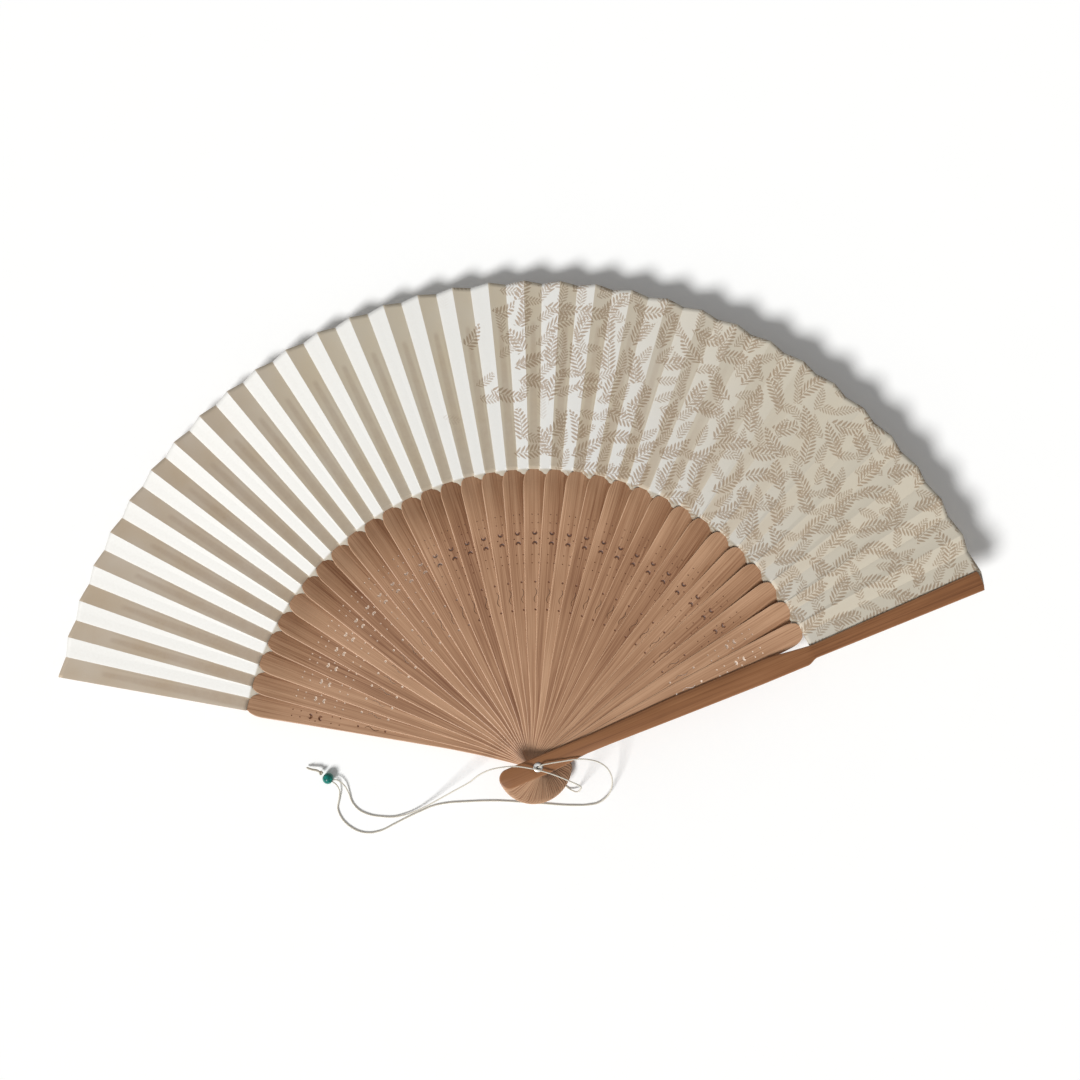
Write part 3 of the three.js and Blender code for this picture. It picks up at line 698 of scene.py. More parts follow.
WHITE_PAPER = paint(235, 234, 230)
PAINTED_SHADE_PAPER = paint(216, 216, 213)
BEIGE_WASH = paint(205, 196, 177)
LEFT_STAIN_AND_SHADE = paint(216, 194, 168)
RIGHT_STAIN_AND_SHADE = paint(248, 231, 203)
SLIP_BROWN = paint(156, 124, 96)
SHADED_PAPER = paint(170, 159, 139)
PAPER_FIBRE = paint(205, 198, 186)
PRINT_INK = paint(152, 127, 101)
STAIN_HALF = 1.8
STAIN_TAPER = 0.0192


def paper_finish():
    """Pleated paper: fibres and faint clouds; glued panels warmer and darker, partly the slip behind the
    paper and partly painted shade that is strongest on the left; white paper greyed by painted shade
    towards the right, and a painted shaded collar between the shoulders; a beige wash and a print of fern
    fronds towards the right."""
    f = Finish("leaf_paper_print")
    place = f.uv("grain")
    panel = f.uv("panel")
    backed, reach = f.axes(panel)
    across = abs(f.attribute("across"))
    fibre = f.noise(f.stretched(place, 0.9, 0.9, 1), 1.0, 5.0, 0.6)
    cloud = f.noise(place, 0.05, 2.0)
    slip_half = STAIN_HALF - (reach - BLADE_LENGTH) * STAIN_TAPER
    slip = (slip_half - across).within(-0.9, 0.4) * (BLADE_LENGTH + SLIP_LENGTH - reach).within(-1.0, 1.5)
    streak = f.noise(f.stretched(place, 0.35, 0.35, 1), 1.0, 3.0)
    x, y = f.axes(place)
    rightward = x + y * RIGHT_LEAN
    # The white paper greys towards the right: painted shade.
    colour = f.blend(rightward.within(-135.0, 5.0), WHITE_PAPER, PAINTED_SHADE_PAPER)
    washed = rightward.within(35.0, 135.0)
    colour = f.blend(washed * 0.95, colour, BEIGE_WASH)
    # Glued panels darkened: partly the slip behind the paper, partly painted shade, most on the left.
    stain_and_shade_share = 1 - washed * 0.92
    slip_stain_and_shade = f.blend(rightward.within(-125.0, -35.0), LEFT_STAIN_AND_SHADE, RIGHT_STAIN_AND_SHADE)
    colour = f.blend(backed * (0.9 + (cloud - 0.5) * 0.6) * stain_and_shade_share, colour, slip_stain_and_shade, "MULTIPLY")
    colour = f.blend(slip * (0.28 + (streak - 0.5) * 0.3) * stain_and_shade_share, colour, SLIP_BROWN)
    colour = f.blend(reach.within(119.9, 118.9) * (1 - backed) * 0.85, colour, SHADED_PAPER)
    colour = f.blend((fibre - 0.5) * 0.35 + 0.12, colour, PAPER_FIBRE)
    large = fronds(f, place, cell=11.5, length=16.0, half_width=2.6, pitch=1.7, seed=1.0)
    small = fronds(f, place, cell=8.0, length=10.5, half_width=1.8, pitch=1.3, seed=2.0)
    ink = (large * 0.85).math("MAXIMUM", small * 0.7)
    colour = f.blend(ink * (0.85 + (fibre - 0.5) * 0.5), colour, PRINT_INK)
    return f.surface(Base_Color=colour, Roughness=0.85, Normal=f.bump(fibre, 0.12, 0.0001))


def metal_finish():
    """Nickelled brass, worn to fine scratches."""
    f = Finish("eyelet_nickel")
    place = f.node("ShaderNodeTexCoord", {}, {}, "Object")
    scratch = f.noise(f.stretched(place, 900.0, 5200.0, 900.0), 1.0, 3.0)
    cloud = f.noise(place, 700.0, 2.0)
    colour = f.blend(cloud, paint(222, 222, 218), paint(244, 244, 240))
    rough = 0.42 + (scratch - 0.5) * 0.25
    return f.surface(Base_Color=colour, Metallic=0.4, Roughness=rough, Normal=f.bump(scratch, 0.1, 0.00005))


def cord_finish():
    """Twisted thread: painted shade in the lay between its plies, and flecked along its fibres."""
    f = Finish("cord_thread")
    ply = f.attribute("ply")
    fleck = f.noise(f.stretched(f.uv(), 2.0, 6.0, 1), 1.0, 3.0)
    # The lay between the plies is darker: painted shade.
    colour = f.blend(ply.within(0.0, 0.8), paint(176, 167, 150), paint(226, 220, 207))
    colour = f.blend((fleck - 0.5) * 0.6 + 0.1, colour, paint(196, 187, 169))
    return f.surface(Base_Color=colour, Roughness=0.8, Normal=f.bump(fleck, 0.2, 0.00006))


def bead_finish():
    """A glazed bead: mottled blue-green under a clear coat."""
    f = Finish("bead_glaze_mottled")
    place = f.node("ShaderNodeTexCoord", {}, {}, "Object")
    mottle = f.noise(place, 900.0, 4.0, 0.65)
    fleck = f.noise(place, 2600.0, 2.0)
    colour = f.blend(mottle.within(0.35, 0.68), paint(12, 92, 84), paint(32, 148, 134))
    colour = f.blend(fleck.within(0.62, 0.7) * 0.6, colour, paint(16, 40, 44))
    glaze = {"Specular_IOR_Level": 0.25, "Coat_Weight": 0.25, "Coat_Roughness": 0.08}
    return f.surface(Base_Color=colour, Roughness=0.3, **glaze)


# Each bamboo's edge colour is a painted highlight; its hole colours are painted shade and painted light.
RIB_BAMBOO = bamboo(
    "rib_bamboo_split",
    tones=[paint(118, 74, 45), paint(160, 118, 86), paint(188, 147, 114)],
    edge=paint(206, 168, 136),
    painted_hole_shade_and_light=[paint(112, 66, 38), paint(232, 209, 188)],
    roughness=0.55,
    contrast=1.1,
)
GUARD_BAMBOO = bamboo(
    "guard_bamboo_polished",
    tones=[paint(102, 61, 34), paint(137, 91, 56), paint(158, 110, 73)],
    edge=paint(162, 114, 78),
    painted_hole_shade_and_light=[paint(84, 48, 26), paint(84, 48, 26)],
    roughness=0.4,
    contrast=0.7,
)
LEAF_PAPER = paper_finish()
EYELET_METAL = metal_finish()
CORD_THREAD = cord_finish()
BEAD_GLAZE = bead_finish()

# Camera: nearly straight down, square to the leaf as it lies, by its place from the pivot in millimetres
CAMERA_FROM_PIVOT = (-31.41, 78.17, 650.0)
CAMERA_TURN = (1.106, -2.920, 0.055)
PIXELS = 1080
FOCAL_PIXELS = 1583.0
SENSOR_WIDTH = 36.0


def set_camera():
    """A camera that looks nearly straight down on the open leaf, with +Y up."""
    lens = bpy.data.cameras.new("overhead")
    lens.sensor_width = SENSOR_WIDTH
    lens.lens = FOCAL_PIXELS / PIXELS * SENSOR_WIDTH
    lens.clip_start = 0.01
    camera = linked("overhead", lens)
    camera.location = ((PIVOT + CAMERA_FROM_PIVOT) * MM).tolist()
    camera.rotation_euler = [math.radians(turn) for turn in CAMERA_TURN]
    bpy.context.scene.camera = camera


set_camera()

# Wrist cord, with its routes about the pivot at the height of the table
CORD_DIAMETER = 0.6
CORD_REST = 0.45
CORD_TOP = 21.5
BORE_MIDDLE = 11.0
EYELET_TOP = level(RIB_COUNT) + GUARD_HEAD_THICKNESS + 0.75
EYELET_BOTTOM = GUARD_THICKNESS - GUARD_HEAD_THICKNESS - 0.4


def route(*places):
    """A cord's places about the pivot, those without a height on the table."""
    return [[*place, CORD_REST][:3] for place in places]


OVER_ROUTE = route(
    (0, 0, BORE_MIDDLE), (0, 0, 16), (0, 0, 20), (0.25, 0.15, 21.1), (1.2, 0.9, CORD_TOP),
    (5.1, 1.8, CORD_TOP), (10.1, 2.6, CORD_TOP), (15, 3.3, 21.6), (19.3, 3.2, 21.3), (23, 2.3, 19.6),
    (26.8, 0.1, 16.4), (29.3, -2.9, 12.6), (30.7, -6.6, 8.6), (30.8, -10.3, 5.2), (29.2, -14.3, 2.2),
    (25.7, -17.1, 0.8), (21, -18), (15.1, -18.1), (1.8, -17.2), (-18.7, -16), (-28.5, -16.3),
    (-35.4, -16.7), (-41.5, -17.8), (-47.4, -20.2), (-52.8, -22.7), (-58.1, -25.4), (-63, -27.8),
    (-67.5, -28.7), (-71.5, -28.2), (-75.3, -26.3), (-79.1, -22.5), (-80.6, -18.8), (-80, -14.5, 0.7),
    (-79.9, -11.2, 1.3), (-81.3, -8.6, 2.2), (-83.0, -7.35, 2.2),
)
UNDER_ROUTE = route(
    (0, 0, BORE_MIDDLE), (0, 0, 6), (0, 0, 1.7), (0.25, -0.15, 0.8), (1.2, -0.8), (5.8, -4.6),
    (10.6, -8.6), (14, -11.4, 0.6), (16.1, -12.2, 2.2), (17.2, -11.4, 6.5), (17.5, -10, 11.5),
    (17.4, -8.4, 17), (16.2, -7.1, 20.9), (12.8, -5.5, CORD_TOP), (6.6, -2.9, CORD_TOP),
    (1.2, -1.2, CORD_TOP), (-2.6, -0.3, CORD_TOP), (-9, 0.6, CORD_TOP), (-13.9, 0.3, CORD_TOP),
    (-18.8, -0.7, 21), (-23, -2.9, 18.2), (-27.1, -6.5, 14.2), (-33.4, -10.5, 10.2),
    (-38.7, -13.9, 6.6), (-44.1, -17.3, 3.4), (-49.5, -20, 1.5), (-53.8, -21.5, 1), (-58.1, -22.3, 0.6),
    (-63, -22.1), (-67.8, -21.3), (-71.9, -19.4), (-74.8, -16.1), (-76.2, -12.3, 0.8),
    (-77.9, -9.2, 1.6), (-79.6, -7.6, 2.1), (-81.2, -6.8, 2.3), (-83.1, -7.0, 2.5),
)
ROUTE_STEP = 0.05
STRAND_STEP = 0.2
TAIL_STEP = 0.15
THREAD_SIDES = 15
THREAD_PLIES = 3
THREAD_LAY = 2.4
PLY_DEPTH = 0.1
BEAD_CENTRE = np.array([-84.4, -6.2, 2.35])
BEAD_HEADING = 142.0
BEAD_RADIUS = 2.3
BEAD_FLATTENING = 0.97
BEAD_BORE = 0.72
BEAD_BORE_TURN = 0.36
BEAD_BORE_EASE = 0.12
KNOT_RADIUS = 1.0
KNOT_GAP = 0.3
KNOT_MEAN = 0.62
KNOT_SWING = 0.38
KNOT_RISE = 0.62
KNOT_SHADE = 0.3
TAIL_LENGTHS = (6.4, 5.8)
TAIL_WIDTH = 1.35


def smooth_line(places, spacing):
    """A line through the places: cubic pieces by chord length, evenly spaced."""
    knots = np.array(places, float)
    chord = np.concatenate([[0], np.cumsum(np.linalg.norm(np.diff(knots, axis=0), axis=1))])
    tangent = np.gradient(knots, chord, axis=0)
    at = np.linspace(0, chord[-1], int(chord[-1] / ROUTE_STEP))
    piece = np.clip(np.searchsorted(chord, at, side="right") - 1, 0, len(knots) - 2)
    span = (chord[piece + 1] - chord[piece])[:, None]
    t = (at - chord[piece])[:, None] / span
    line = (
        (2 * t**3 - 3 * t**2 + 1) * knots[piece]
        + (t**3 - 2 * t**2 + t) * span * tangent[piece]
        + (3 * t**2 - 2 * t**3) * knots[piece + 1]
        + (t**3 - t**2) * span * tangent[piece + 1]
    )
    travelled = np.concatenate([[0], np.cumsum(np.linalg.norm(np.diff(line, axis=0), axis=1))])
    even = np.linspace(0, travelled[-1], int(travelled[-1] / spacing) + 1)
    return np.column_stack([np.interp(even, travelled, line[:, i]) for i in range(3)])


def frames_along(line, closed=False):
    """Two directions across a line at each point, carried along it with no twist."""
    if closed:
        tangent = np.roll(line, -1, axis=0) - np.roll(line, 1, axis=0)
    else:
        tangent = np.gradient(line, axis=0)
    tangent /= np.linalg.norm(tangent, axis=1, keepdims=True)
    across = np.zeros_like(line)
    across[0] = np.cross(tangent[0], [0.3, 0.9, 0.2])
    across[0] /= np.linalg.norm(across[0])
    for i in range(1, len(line)):
        carried = across[i - 1] - tangent[i] * np.dot(across[i - 1], tangent[i])
        across[i] = carried / np.linalg.norm(carried)
    return across, np.cross(tangent, across)


def thread(line, diameter, closed=False):
    """A twisted thread: a section of three lobes carried along the line while it turns once in each lay
    length, with round ends if it isn't closed. Returns points, faces, UV pairs and a value that is 1 on
    the plies and 0 between them."""
    across, other = frames_along(line, closed)
    around = np.arange(THREAD_SIDES)
    angle = around * 2 * math.pi / THREAD_SIDES
    steps = np.linalg.norm(np.diff(line, axis=0), axis=1)
    travelled = np.concatenate([[0], np.cumsum(steps)])
    lobe = np.cos(THREAD_PLIES * (angle[None, :] - 2 * math.pi * travelled[:, None] / THREAD_LAY))
    radius = diameter / 2 * (1 - PLY_DEPTH + PLY_DEPTH * lobe)
    if not closed:
        nearest = np.minimum(travelled, travelled[-1] - travelled)
        radius = radius * np.sqrt(np.clip(nearest / (diameter / 2), 0.02, 1))[:, None]
    offset = np.cos(angle)[:, None] * across[:, None, :] + np.sin(angle)[:, None] * other[:, None, :]
    points = (line[:, None, :] + radius[:, :, None] * offset).reshape(-1, 3)
    faces = [*grid_faces(len(line), THREAD_SIDES, closed, True)[:, ::-1]]
    if not closed:
        faces += [around[::-1], around + (len(line) - 1) * THREAD_SIDES]
    grain = np.stack(np.broadcast_arrays(travelled[:, None], angle[None, :]), axis=-1).reshape(-1, 2)
    return points, faces, grain, (lobe.ravel() + 1) / 2


def joined(shells):
    """Several shells as one list of points, faces, UV pairs and values."""
    shift, faces = 0, []
    for points, shell_faces, _, _ in shells:
        faces += [np.asarray(face) + shift for face in shell_faces]
        shift += len(points)
    points, grain, value = (np.concatenate([shell[i] for shell in shells]) for i in (0, 2, 3))
    return points, faces, grain, value


def turned_ring(profile, sides=56):
    """An anticlockwise profile of [radius, height] pairs, carried round +Z."""
    profile = np.array(profile, float)
    angle = np.arange(sides) * 2 * math.pi / sides
    radius, height = profile[:, 0], profile[:, 1]
    x = radius * np.cos(angle)[:, None]
    y = radius * np.sin(angle)[:, None]
    points = np.stack([x, y, np.broadcast_to(height, x.shape)], axis=-1).reshape(-1, 3)
    return points, grid_faces(sides, len(profile), True, True)


def along_bead(points):
    """Points drawn along +Z, laid level along the bead's heading at its centre."""
    heading = math.radians(BEAD_HEADING)
    forward = np.array([math.cos(heading), math.sin(heading), 0.0])
    sideways = np.array([-math.sin(heading), math.cos(heading), 0.0])
    up = np.array([0.0, 0.0, 1.0])
    x, y, z = points.T
    return x[:, None] * -up + y[:, None] * sideways + z[:, None] * forward + BEAD_CENTRE + PIVOT


def make_bead():
    """A ball with a bore, a little flattened, and rounded where the bore leaves it."""
    turn = np.linspace(-1, 1, 33) * (math.pi / 2 - BEAD_BORE_TURN)
    outer = np.column_stack([BEAD_RADIUS * np.cos(turn), BEAD_RADIUS * BEAD_FLATTENING * np.sin(turn)])
    bore_height = np.linspace(outer[-1, 1] - BEAD_BORE_EASE, outer[0, 1] + BEAD_BORE_EASE, 9)
    bore = np.column_stack([np.full(9, BEAD_BORE), bore_height])
    points, faces = turned_ring(np.concatenate([outer, bore]), 48)
    return mesh_piece("glazed_bead", along_bead(points), faces, BEAD_GLAZE, "bead_glaze", "base", ["bead"])


def make_knot():
    """A tight overhand knot: a closed trefoil of thread, with two tails that leave it."""
    t = np.linspace(0, 2 * math.pi, 90, endpoint=False)
    size = KNOT_RADIUS - CORD_DIAMETER / 2
    reach = size * (KNOT_MEAN + KNOT_SWING * np.cos(3 * t))
    rise = KNOT_RISE * size * np.sin(3 * t)
    trefoil = np.column_stack([reach * np.cos(2 * t), reach * np.sin(2 * t), rise])
    lift = BEAD_RADIUS + KNOT_RADIUS + KNOT_GAP
    shells = [thread(trefoil, CORD_DIAMETER, closed=True)]
    for side, length in zip((1, -1), TAIL_LENGTHS):
        root = [side * 0.3, 0.2, length * 0.3]
        bend = [side * 0.3 + 0.3, length * 0.2, length * 0.62]
        tip = [side * 0.35 + 0.8, length * 0.33, length * 0.95]
        tail = smooth_line([[0, 0, 0], root, bend, tip], TAIL_STEP)
        shells.append(thread(tail, CORD_DIAMETER * TAIL_WIDTH))
    points, faces, grain, ply = joined(shells)
    points = along_bead(points + [0, 0, lift])
    look = (CORD_THREAD, "cord_fibre", "base", ["cord_knot"], grain, [("ply", ply * KNOT_SHADE)])
    return mesh_piece("cord_end_knot", points, faces, *look)


def make_strand(name, places, nodes):
    """One strand of the wrist cord, from the middle of the eyelet's bore to the bead."""
    line = smooth_line(places, STRAND_STEP) + PIVOT
    points, faces, grain, ply = thread(line, CORD_DIAMETER)
    look = (CORD_THREAD, "cord_fibre", "base", nodes, grain, [("ply", ply)])
    strand = mesh_piece(name, points, faces, *look)


bead = make_bead()
knot = make_knot()
make_strand("cord_upper", OVER_ROUTE, ["cord_strand_over", "cord_in_bore"])
make_strand("cord_lower", UNDER_ROUTE, ["cord_strand_under"])


# Sticks


RIB_EDGE = [(0.0, 0.16), (0.36, 0.0)]
RIB_LOWER_EDGE = [(0.0, 0.08), (0.08, 0.0)]
TAIL_START = 6.0
BLADE_ROWS = (-1.4, 0.0, 1.4)
BLADE_ROWS_INSET = 0.7
SLIP_ROW = (125.0, 175.0)
ROW_POINTS = 11
# Painted shade and light on a rib: darker on its right side, lighter on its left, lighter at the shoulder
# and tail.
SIDE_PAINTED_SHADE = 0.12
LEAN_RAMP = (70.0, 105.0)
LEAST_LEAN = 0.2
END_PAINTED_LIGHT = 0.1
SHOULDER_RAMP = (98.0, 110.0)
TAIL_RAMP = (-2.0, -6.0)
# Painted light in the holes by rib from the left, pale, and painted shade in the rest, dark.
PAINTED_LIT_OPENWORK = [0, 0.9, 0.9, 1, 1, 1, 0.9, 0.8, 0.7, 0.6, 0.5, 0.45, 0.2]
SLIM_FROM_LIT_PAINT = 0.4
GRAIN_STEP = (260.0, 21.0)
ROUND_OVER_RADIUS = 0.55
EASED = [(0.0, 0.1), (0.1, 0.0)]
# Painted light on a guard's blade; its slip is darker.
GUARD_BLADE_PAINTED_LIGHT = 0.07
GUARD_SLIP_SHADE = -0.06


def rounded_edge(radius, steps=4):
    """The edge of a plate as a quarter circle: (inset, drop) from the wall to the face."""
    turn = np.linspace(0, math.pi / 2, steps + 1)
    return [(radius * (1 - math.cos(a)), radius * (1 - math.sin(a))) for a in turn]


def rib_plate(first, holes):
    """A rib's pierced plate before its twist, with painted shade on its right side, painted light on its
    left, and painted light towards both ends.
    """
    blade = np.linspace(TWIST_START, BLADE_LENGTH - BLADE_ROWS_INSET, ROW_POINTS)
    rows = [np.column_stack([blade, np.full(ROW_POINTS, s)]) for s in BLADE_ROWS]
    rows.append(np.column_stack([np.linspace(*SLIP_ROW, ROW_POINTS), np.zeros(ROW_POINTS)]))
    plan = (rib_outline(first), holes, np.concatenate(rows))
    points, faces, rim = plate(*plan, rib_lower, rib_upper, RIB_EDGE, RIB_LOWER_EDGE)
    u, s, _ = points.T
    lean = np.clip(s / rib_half(u, first), -1, 1) * np.maximum(ramp(u, *LEAN_RAMP), LEAST_LEAN)
    shade = SIDE_PAINTED_SHADE * lean + END_PAINTED_LIGHT * ramp(u, *SHOULDER_RAMP) + END_PAINTED_LIGHT * ramp(u, *TAIL_RAMP)
    return points, faces, rim, shade


def make_ribs():
    """All ribs from three plates, each turned to its place with its own grain."""
    slim = openwork(SLIM_CRESCENT, 1.15, 0.75)
    fat = openwork(FAT_CRESCENT, 1.1, 0.55)
    first_plate, slim_plate, fat_plate = rib_plate(True, fat), rib_plate(False, slim), rib_plate(False, fat)
    tones = RANDOM.uniform(0, 1, RIB_COUNT)
    tones[-4:] += 0.3
    tones[1:7] += 0.25
    tones[[0, -2, -1]] = 0.9, 1.1, 1.1
    # Holes painted pale as light on the left ribs and the last two, dark as shade on the others.
    pale = np.zeros(RIB_COUNT)
    pale[: len(PAINTED_LIT_OPENWORK)] = PAINTED_LIT_OPENWORK
    pale[-2:] = 0.6, 1.0
    for k in range(RIB_COUNT):
        plain = slim_plate if pale[k] > SLIM_FROM_LIT_PAINT else fat_plate
        points, faces, rim, shade = first_plate if k == 0 else plain
        node = f"rib_{k + 1:02d}"
        grain = points[:, :2] + np.multiply(GRAIN_STEP, k)
        moved, curled = wide_lap(points, k)
        rise = pleat_slope(k) * twist_share(points[:, 0]) * (points[:, 1] + moved + curled)
        longer = (tail_length(k) - LEFT_TAIL_LENGTH) / (LEFT_TAIL_LENGTH - TAIL_START)
        stretch = longer * np.minimum(points[:, 0] + TAIL_START, 0)
        bent = turned(points + np.column_stack([stretch, moved, rise]), azimuth(k), level(k))
        values = [("rim", rim), ("tone", tones[k]), ("shade", shade), ("pale", pale[k])]
        look = (RIB_BAMBOO, "rib_bamboo", f"{node}_body", [node], grain, values, RIB_CORNER)
        mesh_piece(f"bamboo_{node}", bent, faces, *look)


def make_guard(name, node, body, side, surfaces, edges, offset):
    """A guard: a thick plate with one hole, its outer face's edges rounded over."""
    holes = [(circle(0, 0, PIVOT_HOLE_RADIUS, 24), PIVOT_HOLE_BEVEL)]
    points, faces, rim = plate(guard_outline(side), holes, guard_middle(side), *surfaces, *edges)
    grain = points[:, :2] + [offset, offset * 0.1]
    # Painted light on the blade, darker on the slip.
    shade = np.where(points[:, 0] < BLADE_LENGTH, GUARD_BLADE_PAINTED_LIGHT, GUARD_SLIP_SHADE)
    values = [("rim", rim), ("tone", 0.5), ("shade", shade), ("pale", 0.0)]
    look = (GUARD_BAMBOO, "guard_bamboo", body, [node], grain, values, GUARD_CORNER)
    turn = RIGHT_GUARD_AZIMUTH if side > 0 else LEFT_GUARD_AZIMUTH
    mesh_piece(name, turned(points, turn), faces, *look)


def make_guards():
    """The lower guard, on the table, and the upper one, with its outer face on top."""
    round_over = rounded_edge(ROUND_OVER_RADIUS)
    surfaces, edges = (left_lower, left_upper), (EASED, round_over)
    make_guard("bamboo_guard_lower", "left_guard", "base", -1, surfaces, edges, 9000.0)
    surfaces, edges = (right_lower, right_upper), (round_over, EASED)
    make_guard("bamboo_guard_upper", "right_guard", "upper_guard", 1, surfaces, edges, 9400.0)


make_ribs()
make_guards()


# Leaf


STRIP_COLUMNS = 8
LEAF_ROWS = 44
POINT_CLEARANCE = 0.12
POINT_LAP = 0.3
SHALLOW_POINT = 117.2
SAG_COLUMNS = [0.0, 0.125, 0.875, 1.0]
SAG_CLIMB = [0.0, 0.19, 0.2, 1.0]
FILL_LIFT = 0.05
FILL_REACH = 4.0
WANDER = 0.05
OFF_SLIP = 9.0
SLIP_ROOT_HALF = RIB_HALVES[-1] - SHOULDER_DEPTH + 0.1


def shoulder_reach(apart, lap):
    """How far out a round shoulder reaches, by distance from its middle line."""
    half = RIB_HALVES[-1] + lap
    depth = SHOULDER_DEPTH + lap
    drawn = np.clip((half - apart) / depth, 0, 1)
    return TWIST_END + SHOULDER_LENGTH * np.sqrt(1 - (1 - drawn) ** 2)


def leaf_creases():
    """The creases from left to right, two a glued panel: the panel's azimuth, the crease's offset from
    it, the height at the middle line, the share of the fold and the slope."""
    sticks = np.arange(RIB_COUNT + 1)
    turn = np.concatenate([[LEFT_GUARD_AZIMUTH], azimuth(sticks)])
    base = np.concatenate([[LEFT_SEAT], level(sticks) + SLIP_THICKNESS]) + PAPER_CLEARANCE
    left = np.full(len(turn), PANEL_HALF)
    right = np.full(len(turn), -PANEL_HALF)
    left[:2] = END_PANEL_ANGLE, FIRST_PANEL_LEFT
    right[-1] = -END_PANEL_ANGLE
    share = (LEFT_GUARD_AZIMUTH - turn) / FOLD_TRAVEL
    pleat = np.concatenate([[END_PLEAT_SLOPE], pleat_slope(sticks)])
    offset = np.column_stack([left, right]).ravel()
    return np.repeat(turn, 2), offset, np.repeat(base, 2), np.repeat(share, 2), np.repeat(pleat, 2)


def make_leaf():
    """The pleated leaf as one sheet: a grid of creases, and columns between them, against radius. Glued
    panels have their slip's slope. Those between climb to the next slip, keeping low until they are past
    its edge, and fill the gap between two shoulders."""
    turn, offset, base, share, pleat = leaf_creases()
    strips = len(turn) - 1
    place = np.linspace(0, strips, strips * STRIP_COLUMNS + 1)
    strip = np.minimum(place.astype(int), strips - 1)
    even = (place - strip)[:, None]
    glued = strip % 2 == 0
    sagging = (~glued & (strip > 1) & (strip < strips - 2))[:, None]
    out = np.linspace(0, 1, LEAF_ROWS)[None, :]
    lies = mix((turn + offset)[strip], (turn + offset)[strip + 1], place - strip)
    before = LEAF_INNER_RADIUS * np.sin(np.radians(turn[strip] - lies))
    after = LEAF_INNER_RADIUS * np.sin(np.radians(lies - turn[strip + 1]))
    left_of = shoulder_reach(before, RIB_LAP) - POINT_LAP
    gap = np.maximum(left_of, shoulder_reach(after, 0.0) + POINT_CLEARANCE)
    gap = np.maximum(gap, mix(0.0, SHALLOW_POINT, wide_share(strip // 2 - 1) > 0.5))
    filling = sagging & (even < SAG_COLUMNS[2])
    inner = np.where(filling, gap[:, None], LEAF_INNER_RADIUS)
    radius = mix(np.minimum(inner, LEAF_INNER_RADIUS), LEAF_RADIUS, out)
    slip_share = ramp(radius, BLADE_LENGTH, BLADE_LENGTH + SLIP_LENGTH)
    panel_half = radius * math.sin(math.radians(PANEL_HALF))
    slip_edge = mix(SLIP_ROOT_HALF, SLIP_TIP_HALF, slip_share) / panel_half
    under_slip = even * (1 + slip_edge) / 2 / SAG_COLUMNS[2]
    t = np.where(sagging & (even <= SAG_COLUMNS[2]), under_slip, even)
    sag = np.where(sagging, t - np.interp(even, SAG_COLUMNS, SAG_CLIMB), 0.0)
    wander = RANDOM.uniform(-WANDER, WANDER, len(turn))
    wander[:4] = 0
    wander[-2:] = 0

    def crease_offset(c):
        return np.radians(offset[c][:, None] + wander[c][:, None] * out**1.5)

    def crease_angle(c):
        return np.radians(turn[c])[:, None] + crease_offset(c)

    def crease_height(c):
        return base[c][:, None] + pleat[c][:, None] * np.sin(crease_offset(c)) * radius

    angle = mix(crease_angle(strip), crease_angle(strip + 1), t)
    height = mix(crease_height(strip), crease_height(strip + 1), t)
    height -= sag * (base[strip + 1] - base[strip])[:, None]
    height += FILL_LIFT * filling * ramp(radius, LEAF_INNER_RADIUS, LEAF_INNER_RADIUS - FILL_REACH)
    share = mix(share[strip][:, None], share[strip + 1][:, None], t)
    across = mix(offset[strip][:, None], offset[strip + 1][:, None], t)
    reach = radius + RIM_SLANT * np.clip(across / PANEL_HALF, -1, 1) * out
    x = reach * np.cos(angle) + PIVOT[0]
    y = reach * np.sin(angle) + PIVOT[1]
    grid = np.stack([x, y, height], axis=-1)
    points = grid.reshape(-1, 3)
    apart = np.where(glued[:, None], radius * np.sin(np.radians(across)), OFF_SLIP)
    faces = grid_faces(len(place), LEAF_ROWS)[:, ::-1]
    values = [("across", apart.ravel())]
    look = (LEAF_PAPER, "leaf_paper", None, ["leaf"], points[:, :2], values, PLEAT_CORNER)
    leaf = mesh_piece("paper_leaf", points, faces, *look)
    corner = np.zeros(len(leaf.data.loops), np.int32)
    leaf.data.loops.foreach_get("vertex_index", corner)
    face_of_corner = np.repeat(np.arange(len(faces)), 4)
    backed = glued[face_of_corner // (LEAF_ROWS - 1)]
    panel = leaf.data.uv_layers.new(name="panel")
    pairs = np.column_stack([backed, reach.ravel()[corner]]).astype(np.float32)
    panel.data.foreach_set("uv", pairs.ravel())

    thick = leaf.modifiers.new("paper", "SOLIDIFY")
    thick.thickness = PAPER_THICKNESS * MM
    thick.offset = -1.0
    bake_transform(leaf)


make_leaf()


# Eyelet


EYELET_BORE = 0.85
EYELET_SHANK = 1.3
EYELET_MOUTH = 0.95
MOUTH_RISE = 0.12
FLANGE_INNER = 1.15
FLANGE_THICKNESS = 0.35
FLANGE_RADIUS = 1.82
FLANGE_ROUND = 0.17
LIP_RADIUS = 1.1
LIP_HALF = 0.5
LIP_RISE = 0.15
LIP_DEPTH = 0.4
WASHER_HOLE = 1.4
WASHER_RADIUS = 1.9
WASHER_DOME = 0.4
WASHER_WALL = 0.1
WASHER_RISE = 0.25
WASHER_GAP = 0.05


def make_ring(name, node, profile):
    """A metal ring about the pivot."""
    points, faces = turned_ring(profile)
    look = (EYELET_METAL, "eyelet_metal", "base", [node])
    mesh_piece(name, points + PIVOT, faces, *look, sharp=RING_CORNER)


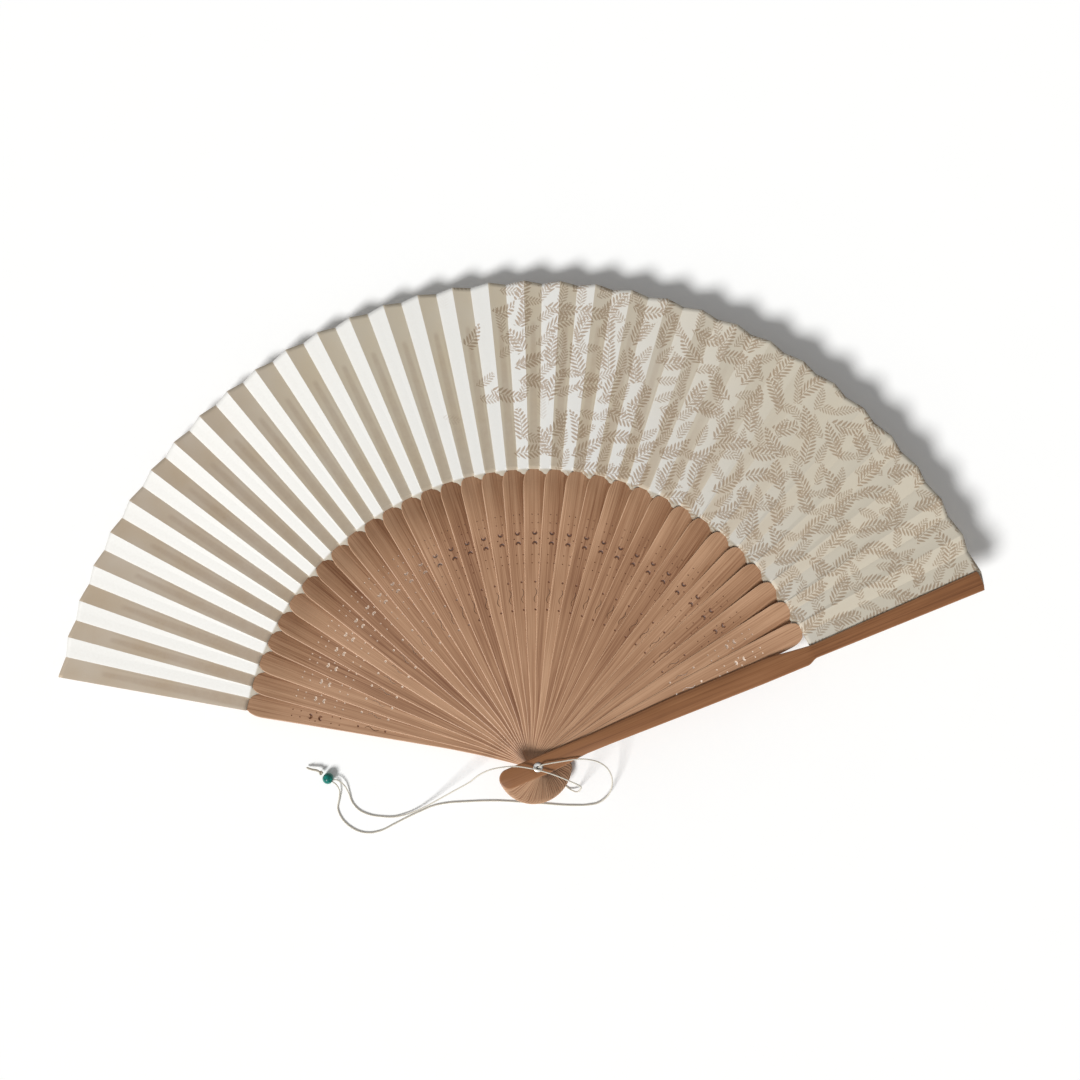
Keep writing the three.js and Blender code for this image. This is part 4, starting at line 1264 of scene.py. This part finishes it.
def make_eyelet():
    """A hollow rivet: a flange below, a shank, and a lip that is rolled outward above."""
    flange_top = EYELET_BOTTOM + FLANGE_THICKNESS
    lip_bottom = EYELET_TOP - 2 * LIP_RISE
    roll = np.radians(np.linspace(-80, 175, 12))
    roll_height = lip_bottom + LIP_RISE + LIP_RISE * np.sin(roll)
    lip = np.column_stack([LIP_RADIUS + LIP_HALF * np.cos(roll), roll_height])
    foot = np.radians(np.linspace(-90, 90, 9))
    foot_height = (EYELET_BOTTOM + flange_top) / 2 + FLANGE_THICKNESS / 2 * np.sin(foot)
    flange = np.column_stack([FLANGE_RADIUS + FLANGE_ROUND * np.cos(foot), foot_height])
    shank = [[EYELET_SHANK, flange_top], [EYELET_SHANK, lip_bottom]]
    bore = [[EYELET_BORE, lip_bottom - LIP_DEPTH], [EYELET_BORE, flange_top]]
    mouth = [[EYELET_MOUTH, EYELET_BOTTOM + MOUTH_RISE], [FLANGE_INNER, EYELET_BOTTOM]]
    make_ring("rolled_eyelet", "pivot_eyelet", [mouth[1], *flange, *shank, *lip, *bore, mouth[0]])


def make_washer():
    """A ring with a domed upper face."""
    bottom = level(RIB_COUNT) + GUARD_HEAD_THICKNESS + WASHER_GAP
    turn = np.radians(np.linspace(0, 90, 9))
    dome_height = bottom + WASHER_WALL + WASHER_RISE * np.sin(turn)
    dome = np.column_stack([WASHER_RADIUS - WASHER_DOME + WASHER_DOME * np.cos(turn), dome_height])
    foot = [[WASHER_HOLE, bottom], [WASHER_RADIUS, bottom]]
    top = bottom + WASHER_WALL + WASHER_RISE
    make_ring("domed_washer", "pivot_washer", [*foot, *dome, [WASHER_HOLE, top]])


make_eyelet()
make_washer()


# Table and light


KEY_AZIMUTH = 231.0
KEY_ELEVATION = 45.0
KEY_STRENGTH = 3.2
KEY_SOFTNESS = 18.0
SKY_STRENGTH = 0.25
TABLE_GLOW = 0.04
TABLE_HALF = 3.0


def make_table():
    """A wide plain table. What is seen of it glows a little, to be white in the light."""
    f = Finish("table_pale")
    speck = f.noise(f.node("ShaderNodeTexCoord", {}, {}, "Object"), 40.0, 3.0)
    colour = f.blend(speck * 0.3, paint(255, 255, 254), paint(251, 251, 250))
    rays = f.node("ShaderNodeLightPath", {}, {}, "Is Camera Ray")
    outputs = rays.socket.node.outputs
    seen = rays + Value(f, outputs["Is Glossy Ray"]) + Value(f, outputs["Is Transmission Ray"])
    f.surface(
        Base_Color=colour,
        Roughness=0.9,
        Emission_Color=seen.math("MINIMUM", 1.0) * TABLE_GLOW,
        Emission_Strength=1.0,
    )
    mesh = bpy.data.meshes.new("table")
    corners = [(x * TABLE_HALF, y * TABLE_HALF, 0) for x, y in ((-1, -1), (1, -1), (1, 1), (-1, 1))]
    mesh.from_pydata(corners, [], [(0, 1, 2, 3)])
    mesh.materials.append(f.material)
    linked("table", mesh)


def make_light():
    """A soft key from the lower left of the frame, and an even sky."""
    lamp = bpy.data.lights.new("key", "SUN")
    lamp.energy = KEY_STRENGTH
    lamp.angle = math.radians(KEY_SOFTNESS)
    turn, rise = math.radians(KEY_AZIMUTH), math.radians(KEY_ELEVATION)
    linked("key", lamp).rotation_euler = (math.pi / 2 - rise, 0, turn + math.pi / 2)
    sky = bpy.data.worlds.new("sky")
    sky.use_nodes = True
    back = sky.node_tree.nodes["Background"]
    back.inputs["Color"].default_value = (1, 1, 1, 1)
    back.inputs["Strength"].default_value = SKY_STRENGTH
    bpy.context.scene.world = sky
    bpy.context.scene.view_settings.view_transform = "Standard"


make_table()
make_light()
